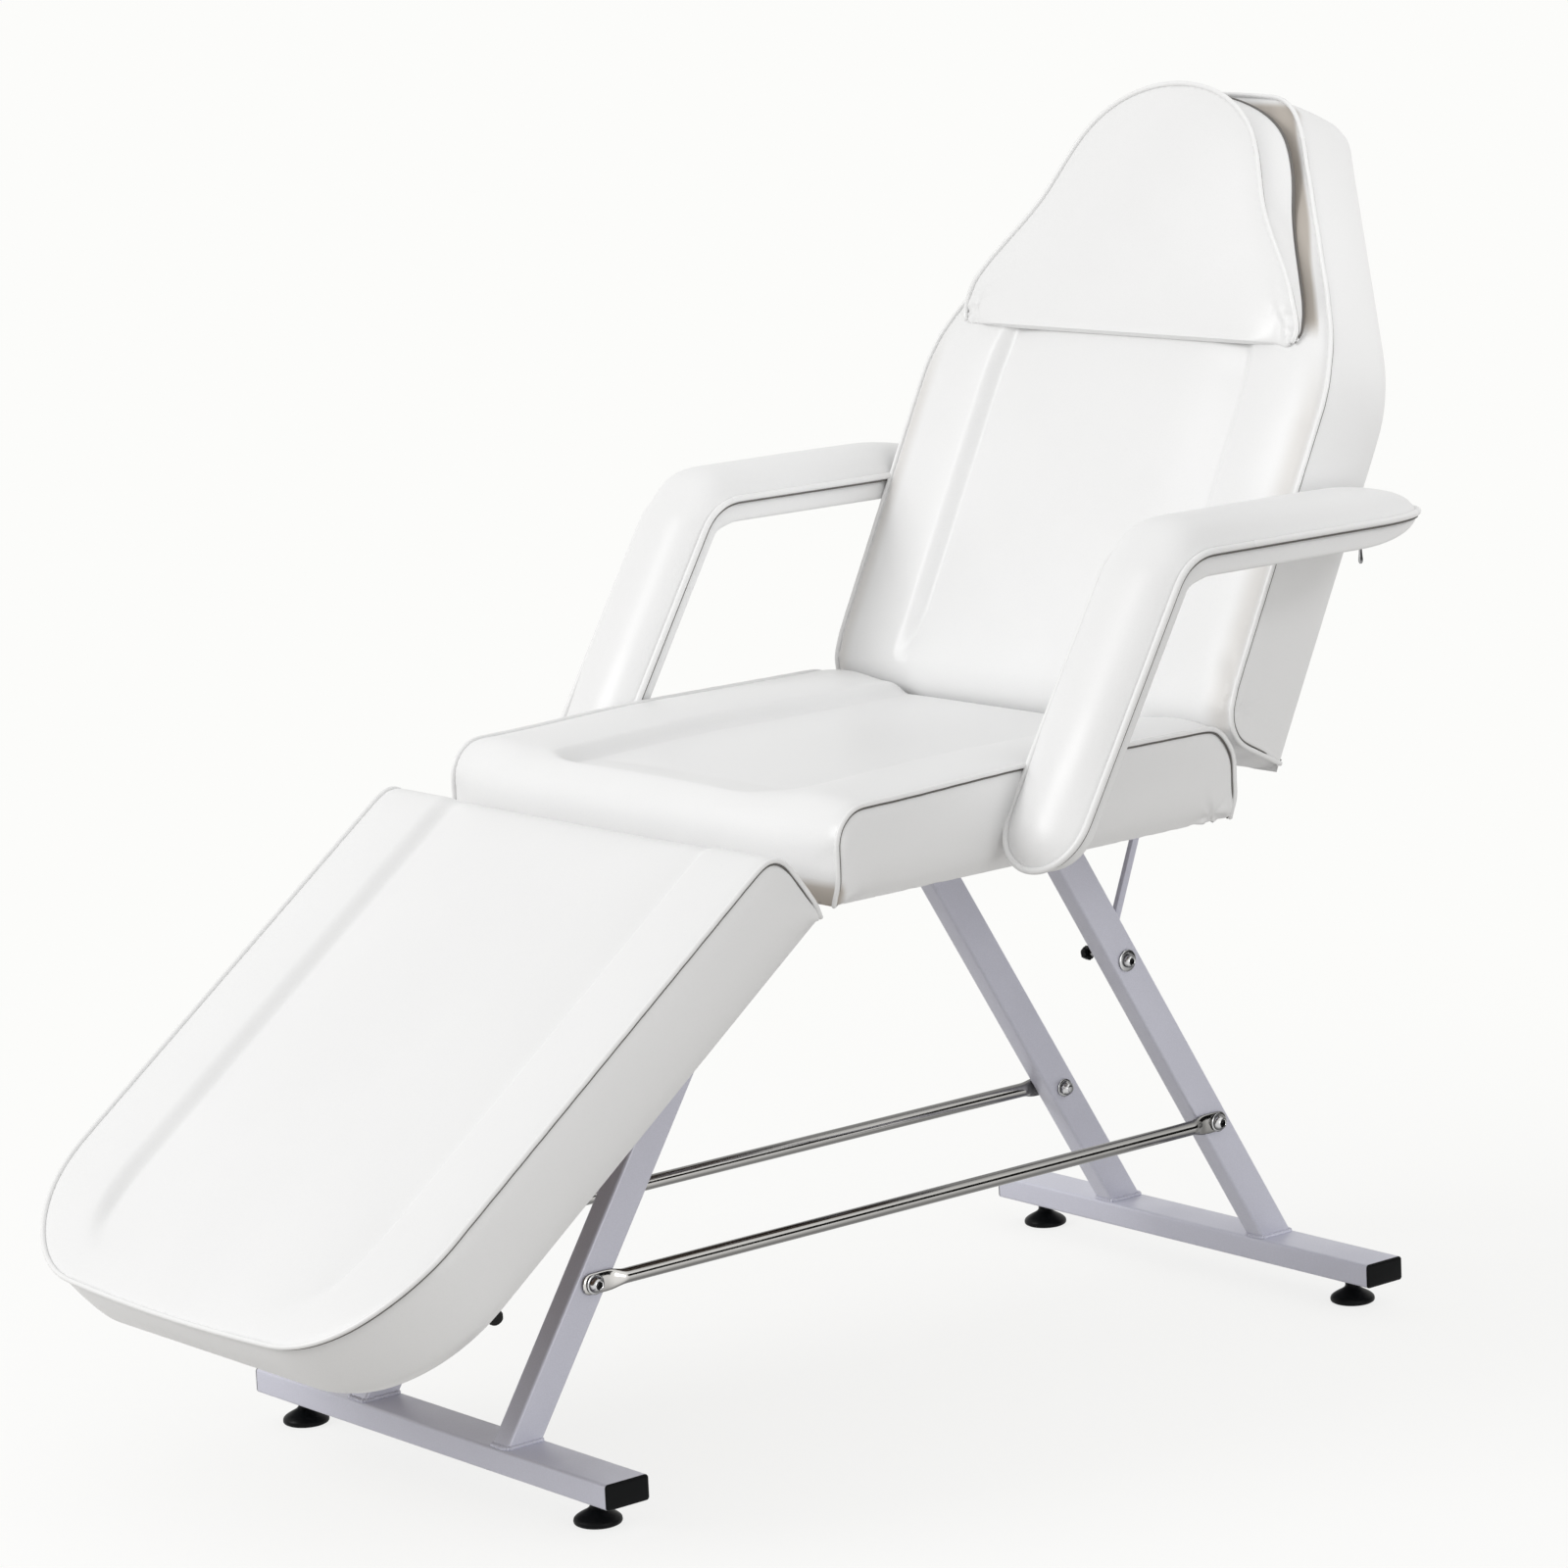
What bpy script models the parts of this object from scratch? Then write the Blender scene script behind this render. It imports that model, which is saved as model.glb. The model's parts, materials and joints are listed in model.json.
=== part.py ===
"""Adjustable padded treatment bed set as a chair: leg rest, seat, backrest, pillow, arms, steel base."""

import math

import bmesh
import bpy
from mathutils import Vector

for stale in list(bpy.data.objects):
    bpy.data.objects.remove(stale, do_unlink=True)

# Metres and degrees. X runs across the bed, Y from the feet to the head, Z up from the floor.
PAD_WIDTH = 0.600
SEAT_FRONT = -0.278
SEAT_REAR = 0.238
SEAT_TOP = 0.638
SEAT_BOTTOM = 0.5515
GAP = 0.0003

LEGREST_DROP = 37.1
LEGREST_START = 0.0090
LEGREST_LENGTH = 0.6289
LEGREST_THICK = 0.088
LEGREST_UNDER = 0.0108
LEGREST_CORNER = 0.130
LEGREST_BOW = 0.015
LEGREST_ROUND = 0.026
LEGREST_RACK_START = 0.240

BACK_RAISE = 63.6
BACK_HINGE_Y = SEAT_REAR + 0.0145
BACK_HINGE_Z = SEAT_BOTTOM + 0.0405
BACK_START = 0.016
BACK_END = 0.702
BACK_HALF_THICK = 0.044
HEAD_HALF_WIDTH = 0.145
SHOULDER_START = 0.412
SHOULDER_TAPER = 0.62
HEAD_CORNER = 0.055
BACK_RACK_START = 0.030
HINGE_ARM_REACH = 0.200

PILLOW_BASE = 0.431
PILLOW_TILT = 4.0
PILLOW_HALF_WIDTH = 0.250
PILLOW_HEIGHT = 0.262
PILLOW_TOP_HALF_WIDTH = 0.152
PILLOW_DOME = 0.106
PILLOW_FOOT_THICK = 0.016
PILLOW_FILL = 0.013

ARM_HALF_WIDTH = 0.052
ARM_CENTRE = PAD_WIDTH / 2 + 0.005 + ARM_HALF_WIDTH
ARM_LEAN = 31.1
ARM_FOOT_Z = 0.558
ARM_TOP_Z = 0.840
ARM_CORNER_Y = 0.083
ARM_TIP_Y = 0.427
ARM_BEND = 0.055
ARM_FRONT_CROWN = 0.022
ARM_TOP_CROWN = 0.033

BAR_LENGTH = 0.566
BAR_DEPTH = 0.050
BAR_HEIGHT = 0.025
BAR_BOTTOM = 0.027
FRONT_BAR_Y = -0.547
REAR_BAR_Y = 0.443
WALL = 0.002
CAP_THICK = 0.002

LEG_CENTRE = 0.116
LEG_WIDTH = 0.025
LEG_DEPTH = 0.036
FRONT_LEAN = 32.7
REAR_LEAN = 31.3
RAIL_HEIGHT = 0.030
TIE_Z = 0.191
PIVOT_Z = 0.382

TIE_RADIUS = 0.0075
TIE_FLAT = 0.004
FOOT_X = 0.237
PROP_LENGTH = 0.240
PROP_STANDOFF = 0.0192
PROP_BAR = 0.007
PROP_CENTRE = 0.0975
PROP_THICK = 0.006
PIN_RADIUS = 0.005
BOARD_THICK = 0.012
BOARD_INSET = 0.030
BUMPER_INSET = 0.034
BUMPER_SETBACK = 0.139

RAIL_TOP = SEAT_BOTTOM - GAP
RAIL_MID = RAIL_TOP - RAIL_HEIGHT / 2
LEG_OUTER = LEG_CENTRE + LEG_WIDTH / 2
LEG_INNER = LEG_CENTRE - LEG_WIDTH / 2
BAR_TOP = BAR_BOTTOM + BAR_HEIGHT


def finish(name, colour, roughness, metallic):
    """A plain material of one colour."""
    material = bpy.data.materials.new(name)
    material.use_nodes = True
    shader = material.node_tree.nodes["Principled BSDF"]
    shader.inputs["Base Color"].default_value = (*colour, 1.0)
    shader.inputs["Roughness"].default_value = roughness
    shader.inputs["Metallic"].default_value = metallic
    material.diffuse_color = (*colour, 1.0)
    return material


LEATHER = finish("white_leatherette", (0.84, 0.84, 0.83), 0.40, 0.0)
STEEL = finish("silver_painted_steel", (0.60, 0.60, 0.65), 0.38, 0.6)
CHROME = finish("chrome", (0.80, 0.80, 0.82), 0.12, 1.0)
ZINC = finish("zinc_plated_steel", (0.62, 0.62, 0.64), 0.30, 1.0)
BLACK = finish("black_plastic", (0.025, 0.025, 0.027), 0.45, 0.0)
RUBBER = finish("black_rubber", (0.03, 0.03, 0.03), 0.75, 0.0)
PLYWOOD = finish("plywood", (0.62, 0.47, 0.30), 0.65, 0.0)
GREY = finish("grey_metal", (0.40, 0.40, 0.42), 0.40, 0.8)


def empty(name, parent, location, turn):
    """A joint frame at a location, turned about X by some degrees."""
    frame = bpy.data.objects.new(name, None)
    bpy.context.collection.objects.link(frame)
    frame.empty_display_size = 0.05
    frame.parent = parent
    frame.location = location
    frame.rotation_euler = (math.radians(turn), 0.0, 0.0)
    return frame


def add(name, bm, material, parent):
    """Turns a closed bmesh into a named object under a joint frame."""
    bmesh.ops.recalc_face_normals(bm, faces=bm.faces)
    if bm.calc_volume(signed=True) < 0:
        bmesh.ops.reverse_faces(bm, faces=bm.faces)
    mesh = bpy.data.meshes.new(name)
    bm.to_mesh(mesh)
    bm.free()
    if material:
        mesh.materials.append(material)
    thing = bpy.data.objects.new(name, mesh)
    bpy.context.collection.objects.link(thing)
    thing.parent = parent
    return thing


def loft(name, rings, material, parent, hollow=False):
    """Skins rings of equal length. A hollow chain closes on itself, any other gets two end caps."""
    bm = bmesh.new()
    loops = [[bm.verts.new(point) for point in ring] for ring in rings]
    pairs = list(zip(loops, loops[1:]))
    if hollow:
        pairs.append((loops[-1], loops[0]))
    else:
        bm.faces.new(loops[0][::-1])
        bm.faces.new(loops[-1])
    for first, second in pairs:
        for here in range(len(first)):
            after = (here + 1) % len(first)
            bm.faces.new((first[here], first[after], second[after], second[here]))
    return add(name, bm, material, parent)


def rounded(half_a, half_b, radius, steps=2):
    """Points of a rounded rectangle about the origin."""
    points = []
    for corner in range(4):
        sign_a = 1 if corner in (0, 3) else -1
        sign_b = 1 if corner in (0, 1) else -1
        for step in range(steps + 1):
            angle = math.pi / 2 * (corner + step / steps)
            a = sign_a * (half_a - radius) + radius * math.cos(angle)
            b = sign_b * (half_b - radius) + radius * math.sin(angle)
            points.append((a, b))
    return points


def turned_x(name, stations, material, parent, centre, sign=1, count=12):
    """A turned piece on an X axis from (x, radius, hexagonal) stations."""
    rings = []
    for x, radius, hexagonal in stations:
        ring = []
        for step in range(count):
            angle = 2 * math.pi * step / count
            reach = radius
            if hexagonal and step % 2:
                reach = radius * math.cos(math.pi / 6)
            y = centre[0] + reach * math.cos(angle)
            z = centre[1] + reach * math.sin(angle)
            ring.append((sign * x, y, z))
        rings.append(ring)
    return loft(name, rings, material, parent)


def plate_x(name, outline, low, high, material, parent):
    """A flat plate: a YZ outline extruded between two X positions."""
    rings = [[(x, y, z) for y, z in outline] for x in (low, high)]
    return loft(name, rings, material, parent)


def tube_y(name, x, z, width, height, low, high, material, parent):
    """A rectangular steel tube along Y."""
    outer = rounded(width / 2, height / 2, 0.003)
    inner = rounded(width / 2 - WALL, height / 2 - WALL, 0.001)
    order = ((outer, low), (outer, high), (inner, high), (inner, low))
    rings = [[(x + a, y, z + b) for a, b in loop] for loop, y in order]
    return loft(name, rings, material, parent, hollow=True)


def tube_x(name, y, z, depth, height, low, high, material, parent):
    """A rectangular steel tube along X."""
    outer = rounded(depth / 2, height / 2, 0.003)
    inner = rounded(depth / 2 - WALL, height / 2 - WALL, 0.001)
    order = ((outer, low), (outer, high), (inner, high), (inner, low))
    rings = [[(x, y + a, z + b) for a, b in loop] for loop, x in order]
    return loft(name, rings, material, parent, hollow=True)


def helper(thing):
    """Hides a cutting shape."""
    thing.hide_render = True
    thing.display_type = "WIRE"
    return thing


def pin_cutter(name, parent, centre, radius, reach):
    """A cutting cylinder along X for a bolt or rod hole."""
    stations = ((-reach, radius, False), (reach, radius, False))
    return helper(turned_x(name, stations, None, parent, centre))


def cut(thing, cutter):
    """Removes the cutter's volume from a piece."""
    modifier = thing.modifiers.new("hole_" + cutter.name, "BOOLEAN")
    modifier.operation = "DIFFERENCE"
    modifier.solver = "EXACT"
    modifier.object = cutter


def smooth_min(a, b, blend):
    """The smaller of two values with a rounded changeover."""
    share = min(1.0, max(0.0, 0.5 + 0.5 * (b - a) / blend))
    return b * (1 - share) + a * share - blend * share * (1 - share)


def bump(value, centre, half):
    """A cosine hump of height one, zero beyond its half width."""
    away = abs(value - centre) / half
    return 0.5 + 0.5 * math.cos(math.pi * away) if away < 1 else 0.0


def fade(value, low, high):
    """Zero below low, one above high."""
    share = min(1.0, max(0.0, (value - low) / (high - low)))
    return share * share * (3 - 2 * share)


def spread(low, high, count):
    """Evenly spaced values from low to high."""
    return [low + (high - low) * step / (count - 1) for step in range(count)]


def end_round(end, inward, radius, steps=4):
    """(position, drop) rows round a pad's upper end edge, from the end inwards."""
    rows = []
    for step in range(steps):
        angle = math.pi / 2 * step / steps
        rows.append((end + inward * radius * (1 - math.cos(angle)), radius * (1 - math.sin(angle))))
    return rows


class Pad:
    """A cushion drawn as rows along u and columns across, with a crowned top and drawn-in sides."""

    columns = (0.0, 0.14, 0.30, 0.45, 0.56, 0.64, 0.68, 0.73, 0.82, 0.91, 0.97, 1.0)

    def __init__(self, rows, half_width, top, floor, relief, bow=None, forward=1):
        self.rows = rows
        self.half_width = half_width
        self.top = top
        self.floor = floor
        self.relief = relief
        self.bow = bow
        self.forward = forward

    def point(self, share, row, bowed):
        """The top-surface point at a share of the half width on one row."""
        u, drop = row
        x = share * self.half_width(u)
        along = u + (bowed * self.bow(x, u) if self.bow else 0.0)
        return (x, self.forward * along, self.top - drop + self.relief(share, u))

    def grid(self, bowed=1.0):
        """All top-surface points, row by row, with some share of the end's bow."""
        shares = [-share for share in self.columns[:0:-1]] + list(self.columns)
        return [[self.point(share, row, bowed) for share in shares] for row in self.rows]

    @staticmethod
    def border(grid):
        """The grid's edge in order."""
        left = [row[0] for row in grid[1:-1]]
        right = [row[-1] for row in grid[1:-1]]
        return grid[0] + right + grid[-1][::-1] + left[::-1]

    @staticmethod
    def moved_in(loop, inset):
        """A plan loop drawn in about its middle."""
        half_x = max(point[0] for point in loop)
        low = min(point[1] for point in loop)
        high = max(point[1] for point in loop)
        middle = (low + high) / 2
        shrink_x = 1 - inset / half_x
        shrink_y = 1 - inset / (high - middle)
        return [(x * shrink_x, middle + (y - middle) * shrink_y, z) for x, y, z in loop]

    def solid(self, name, material, parent):
        """The cushion itself."""
        grid = self.grid()
        bm = bmesh.new()
        verts = [[bm.verts.new(point) for point in row] for row in grid]
        for low, high in zip(verts, verts[1:]):
            for here in range(len(low) - 1):
                bm.faces.new((low[here], low[here + 1], high[here + 1], high[here]))
        edge = self.border(verts)
        for share, inset in ((0.12, 0.0025), (0.5, 0.0050), (0.88, 0.0050), (1.0, 0.0075)):
            loop = self.moved_in(self.border(self.grid(1 - share)), inset)
            level = [(x, y, z + (self.floor - z) * share) for x, y, z in loop]
            ring = [bm.verts.new(point) for point in level]
            for here in range(len(ring)):
                after = (here + 1) % len(ring)
                bm.faces.new((edge[here], edge[after], ring[after], ring[here]))
            edge = ring
        bm.faces.new(edge)
        return add(name, bm, material, parent)

    def board(self, name, inset, low, high, material, parent):
        """A flat board of the cushion's outline, set in from its edge."""
        first = self.rows[0][0] + inset
        last = self.rows[-1][0] - inset
        edge = [(self.half_width(u) - inset, self.forward * u) for u in spread(first, last, 14)]
        outline = edge + [(-x, y) for x, y in edge[::-1]]
        rings = [[(x, y, z) for x, y in outline] for z in (low, high)]
        return loft(name, rings, material, parent)

    def on_board(self, pad_name, board_name, parent):
        """The cushion with its plywood board let into the underside."""
        cushion = self.solid(pad_name, LEATHER, parent)
        low = self.floor + 0.0005
        high = low + BOARD_THICK
        self.board(board_name, BOARD_INSET, low, high, PLYWOOD, parent)
        recess = self.board(pad_name + "_recess", BOARD_INSET - GAP,
                            self.floor - 0.01, high + GAP, None, parent)
        cut(cushion, helper(recess))


def leg_y(front, z):
    """Where a leg's centre line stands at a height."""
    if front:
        return FRONT_BAR_Y + math.tan(math.radians(FRONT_LEAN)) * (z - BAR_TOP)
    return REAR_BAR_Y - math.tan(math.radians(REAR_LEAN)) * (z - BAR_TOP)


SIDES = (("left", 1), ("right", -1))
ENDS = (("front", True, FRONT_BAR_Y), ("rear", False, REAR_BAR_Y))
LEGREST_HINGE = (SEAT_FRONT, RAIL_MID)
BACK_HINGE = (BACK_HINGE_Y, BACK_HINGE_Z)

base = empty("bed_base", None, (0, 0, 0), 0)
legrest = empty("legrest_hinge_frame", base, (0, *LEGREST_HINGE), LEGREST_DROP)
backrest = empty("backrest_hinge_frame", base, (0, *BACK_HINGE), BACK_RAISE)

legrest_pin_cutter = pin_cutter("legrest_pin_cutter", base, LEGREST_HINGE, PIN_RADIUS + GAP, 0.20)
backrest_pin_cutter = pin_cutter("backrest_pin_cutter", base, BACK_HINGE, PIN_RADIUS + GAP, 0.20)


def build_foot_bar(end, bar_y):
    """A foot bar with its end caps and levelling feet."""
    half = BAR_LENGTH / 2
    middle = BAR_BOTTOM + BAR_HEIGHT / 2
    bar = tube_x(end + "_foot_bar", bar_y, middle, BAR_DEPTH, BAR_HEIGHT, -half, half, STEEL, base)
    for side, sign in SIDES:
        flange = rounded(BAR_DEPTH / 2, BAR_HEIGHT / 2, 0.003)
        plug = rounded(BAR_DEPTH / 2 - WALL - GAP, BAR_HEIGHT / 2 - WALL - GAP, 0.001)
        steps = ((flange, CAP_THICK + GAP), (flange, GAP), (plug, GAP), (plug, -0.010))
        rings = [[(sign * (half + x), bar_y + a, middle + b) for a, b in loop] for loop, x in steps]
        loft(f"{end}_bar_cap_{side}", rings, BLACK, base)
        cut(bar, levelling_foot(f"levelling_foot_{end}_{side}", sign * FOOT_X, bar_y))


def levelling_foot(name, x, y):
    """A bell-shaped foot on a threaded stem, and the cutter for its hole in the bar."""
    stations = ((0.0, 0.020), (0.002, 0.0230), (0.006, 0.0225), (0.011, 0.016), (0.015, 0.0085),
                (0.017, 0.007), (BAR_BOTTOM - GAP, 0.007), (BAR_BOTTOM - GAP, PIN_RADIUS),
                (BAR_TOP - WALL - 0.002, PIN_RADIUS))
    lathe_z(name, stations, x, y, BLACK)
    bore = ((BAR_BOTTOM - 0.004, PIN_RADIUS + GAP), (BAR_BOTTOM + 0.006, PIN_RADIUS + GAP))
    return helper(lathe_z(name + "_bore", bore, x, y, None))


def lathe_z(name, stations, x, y, material, count=16):
    """A turned piece on a Z axis from (z, radius) stations."""
    turns = [2 * math.pi * step / count for step in range(count)]
    rings = [[(x + r * math.cos(a), y + r * math.sin(a), z) for a in turns] for z, r in stations]
    return loft(name, rings, material, base)


def build_leg(end, front, side, sign, cutters):
    """A sloping leg cut level at the bar and at the rail, with its bolt holes."""
    lean = math.radians(FRONT_LEAN if front else REAR_LEAN)
    half_y = LEG_DEPTH / 2 / math.cos(lean)
    outer = rounded(LEG_WIDTH / 2, half_y, 0.003)
    inner = rounded(LEG_WIDTH / 2 - WALL, half_y - WALL / math.cos(lean), 0.001)
    low = BAR_TOP + GAP
    high = RAIL_TOP - RAIL_HEIGHT - GAP
    order = ((outer, low), (outer, high), (inner, high), (inner, low))
    rings = [[(sign * LEG_CENTRE + a, leg_y(front, z) + b, z) for a, b in loop] for loop, z in order]
    leg = loft(f"{end}_leg_{side}", rings, STEEL, base, hollow=True)
    for cutter in cutters:
        cut(leg, cutter)


def build_tie_bolt(end, front, side, sign):
    """The bolt and nut that hold a tie rod to one leg."""
    flat = LEG_OUTER + GAP + TIE_FLAT + GAP
    tie = ((flat + 0.0075, 0.0040, True), (flat + 0.0065, 0.0080, True), (flat + 0.0015, 0.0080, True),
           (flat + 0.0015, 0.0100, False), (flat, 0.0100, False), (flat, 0.0040, False),
           (LEG_INNER - GAP, 0.0040, False), (LEG_INNER - GAP, 0.0075, True),
           (LEG_INNER - 0.0065, 0.0075, True), (LEG_INNER - 0.0065, 0.0040, False),
           (LEG_INNER - 0.0095, 0.0040, False))
    turned_x(f"tie_bolt_{end}_{side}", tie, ZINC, base, (leg_y(front, TIE_Z), TIE_Z), sign)


def build_pivot_bolt(end, front):
    """The bolt through one left leg that a prop swings on, with its black nut."""
    washer = LEG_OUTER + GAP
    bolt = ((washer + 0.0085, 0.0030, False), (washer + 0.0070, 0.0062, False),
            (washer + 0.0020, 0.0070, False), (washer + 0.0020, 0.0112, False),
            (washer, 0.0112, False), (washer, 0.0030, False), (0.062, 0.0030, False))
    centre = (leg_y(front, PIVOT_Z), PIVOT_Z)
    turned_x("pivot_bolt_" + end, bolt, ZINC, base, centre)
    order = ((0.0075, 0.0740), (0.0075, 0.0670), (0.0033, 0.0670), (0.0033, 0.0740))
    turns = [2 * math.pi * step / 12 for step in range(12)]
    rings = [[(x, centre[0] + r * math.cos(a), centre[1] + r * math.sin(a)) for a in turns]
             for r, x in order]
    loft("pivot_nut_" + end, rings, BLACK, base, hollow=True)


def build_tie_rod(side, sign, cutters):
    """A chrome tube with flattened, rounded ends bolted across one pair of legs."""
    axis = LEG_OUTER + GAP + TIE_FLAT / 2
    first = leg_y(True, TIE_Z)
    last = leg_y(False, TIE_Z)
    profile = ((-0.0125, 0.0030, 0.0015), (-0.0105, 0.0075, 0.0020), (-0.006, 0.0100, 0.0020),
               (0.020, 0.0105, 0.0020), (0.034, 0.0100, 0.0028), (0.050, 0.0078, 0.0072),
               (0.056, TIE_RADIUS, TIE_RADIUS))
    stations = [(first + y, tall, thick) for y, tall, thick in profile]
    stations += [(last - y, tall, thick) for y, tall, thick in profile[::-1]]
    rings = []
    for y, tall, thick in stations:
        turns = [2 * math.pi * step / 16 for step in range(16)]
        rings.append([(sign * (axis + thick * math.cos(a)), y, TIE_Z + tall * math.sin(a)) for a in turns])
    rod = loft("tie_rod_" + side, rings, CHROME, base)
    for cutter in cutters:
        cut(rod, cutter)


def build_rails():
    """The welded seat frame that the legs stand under."""
    front = SEAT_FRONT - 0.014
    rear = SEAT_REAR - 0.004
    for side, sign in SIDES:
        rail = tube_y("seat_rail_" + side, sign * LEG_CENTRE, RAIL_MID, LEG_WIDTH, RAIL_HEIGHT,
                      front, rear, STEEL, base)
        cut(rail, legrest_pin_cutter)
        lug_low = LEG_OUTER + GAP
        outline = ((rear - 0.070, RAIL_TOP - RAIL_HEIGHT), (BACK_HINGE_Y + 0.010, RAIL_TOP - RAIL_HEIGHT),
                   (BACK_HINGE_Y + 0.010, BACK_HINGE_Z + 0.004), (BACK_HINGE_Y + 0.004, BACK_HINGE_Z + 0.010),
                   (BACK_HINGE_Y - 0.004, BACK_HINGE_Z + 0.010), (BACK_HINGE_Y - 0.010, BACK_HINGE_Z + 0.004),
                   (BACK_HINGE_Y - 0.010, RAIL_TOP), (rear - 0.070, RAIL_TOP))
        lug = plate_x("backrest_lug_" + side, outline, sign * lug_low, sign * (lug_low + 0.005), STEEL, base)
        cut(lug, backrest_pin_cutter)
    reach = LEG_INNER - GAP
    for end, y in (("front", SEAT_FRONT + 0.078), ("rear", SEAT_REAR - 0.128)):
        tube_x("seat_cross_tube_" + end, y, RAIL_MID, LEG_WIDTH, LEG_WIDTH, -reach, reach, STEEL, base)
    for name, centre in (("legrest_hinge_rod", LEGREST_HINGE), ("backrest_hinge_rod", BACK_HINGE)):
        half = LEG_OUTER + 0.016
        rod = ((-half, PIN_RADIUS - 0.001, False), (0.001 - half, PIN_RADIUS, False),
               (half - 0.001, PIN_RADIUS, False), (half, PIN_RADIUS - 0.001, False))
        turned_x(name, rod, ZINC, base, centre)


def build_seat():
    """The level seat cushion, its board, and the straps that carry the arms."""
    rows = end_round(SEAT_FRONT, 1, 0.030)
    rows += [(u, 0.0) for u in spread(SEAT_FRONT + 0.032, SEAT_REAR - 0.036, 9)]
    rows += end_round(SEAT_REAR, -1, 0.034)[::-1]

    def relief(share, u):
        side = abs(share)
        inside = fade(u, SEAT_FRONT + 0.06, SEAT_FRONT + 0.14)
        across = 0.008 * bump(side, 0.83, 0.17) - 0.005 * bump(side, 0.68, 0.06) * inside
        hollow = (0.005 - 0.010 * inside) * (1 - fade(side, 0.50, 0.66))
        ends = fade(u, SEAT_FRONT, SEAT_FRONT + 0.03) * (1 - fade(u, SEAT_REAR - 0.035, SEAT_REAR))
        return (across + hollow) * ends

    seat = Pad(rows, lambda u: PAD_WIDTH / 2, SEAT_TOP, SEAT_BOTTOM, relief)
    seat.on_board("seat_cushion", "seat_board", base)
    strap_y = -0.078
    lean = 0.456
    for side, sign in SIDES:
        inner = PAD_WIDTH / 2 + 0.0010
        outer = PAD_WIDTH / 2 + 0.0045
        low = RAIL_TOP - 0.005
        high = RAIL_TOP + 0.090
        section = ((LEG_OUTER + GAP, low), (outer, low), (outer, high), (inner, high),
                   (inner, RAIL_TOP), (LEG_OUTER + GAP, RAIL_TOP))
        rings = [[(sign * x, y + lean * max(0.0, z - RAIL_TOP), z) for x, z in section]
                 for y in (strap_y, strap_y + 0.022)]
        loft("arm_strap_" + side, rings, STEEL, base)


def build_arm(side, sign):
    """A padded arm: a leaning front upright that bends into a level rest with a pointed rear end."""
    lean = math.radians(ARM_LEAN)
    rise = Vector((math.sin(lean), math.cos(lean)))
    corner = Vector((ARM_CORNER_Y, ARM_TOP_Z))
    run = (ARM_TOP_Z - ARM_FOOT_Z) / math.cos(lean)
    tangent = ARM_BEND * math.tan((math.pi / 2 - lean) / 2)
    upright = run - tangent
    stations = []
    for step in range(5):
        angle = math.pi / 2 * (0.12 + 0.88 * step / 4)
        along = ARM_HALF_WIDTH * (1 - math.cos(angle))
        stations.append((along, math.sin(angle)))
    stations += [(along, 1.0) for along in spread(0.10, upright, 4)]
    path = [(corner - rise * (run - along), rise, full) for along, full in stations]
    centre = corner - rise * tangent + Vector((rise.y, -rise.x)) * ARM_BEND
    for step in range(1, 6):
        angle = math.pi / 2 - lean - (math.pi / 2 - lean) * step / 5
        ahead = Vector((math.cos(angle), math.sin(angle)))
        path.append((centre + Vector((-ahead.y, ahead.x)) * ARM_BEND, ahead, 1.0))
    level = Vector((1.0, 0.0))
    taper = 0.090
    straight = spread(ARM_CORNER_Y + tangent, ARM_TIP_Y - taper, 4)[1:]
    path += [(Vector((y, ARM_TOP_Z)), level, 1.0) for y in straight]
    for step in range(1, 6):
        angle = math.pi / 2 * 0.95 * step / 5
        y = ARM_TIP_Y - taper + taper * math.sin(angle)
        path.append((Vector((y, ARM_TOP_Z)), level, math.cos(angle) ** 0.8))
    rings = []
    for spot, ahead, full in path:
        outward = Vector((-ahead.y, ahead.x))
        depth = (0.009 + 0.015 * fade(ahead.x, 0.55, 1.0)) * (0.15 + 0.85 * full)
        wide = ARM_HALF_WIDTH * full
        crown = ARM_FRONT_CROWN + (ARM_TOP_CROWN - ARM_FRONT_CROWN) * fade(ahead.x, 0.55, 1.0)
        crown = crown * full ** 0.7
        section = [(wide * math.cos(math.pi * k / 8), crown * math.sin(math.pi * k / 8) ** 0.75)
                   for k in range(9)]
        section += [(-wide + 0.002 * full, -depth * 0.5), (-wide + 0.001 * full, -depth),
                    (wide - 0.001 * full, -depth), (wide - 0.002 * full, -depth * 0.5)]
        ring = []
        for across, out in section:
            place = spot + outward * out
            ring.append((sign * ARM_CENTRE + across, place.x, place.y))
        rings.append(ring)
    loft("arm_pad_" + side, rings, LEATHER, base)


def build_zip_pull(side, sign):
    """The small pull of the arm cover's zip, hanging on its slider."""
    slider = (sign * ARM_CENTRE, ARM_TIP_Y - 0.062, ARM_TOP_Z - 0.0263)
    frame = empty("zip_pull_frame_" + side, base, slider, 0)
    outline = ((-0.0018, -0.0180), (0.0018, -0.0180), (0.0030, -0.0150), (0.0022, 0.0010),
               (0.0008, 0.0024), (-0.0008, 0.0024), (-0.0022, 0.0010), (-0.0030, -0.0150))
    plate_x("zip_pull_" + side, outline, -0.0008, 0.0008, GREY, frame)


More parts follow.
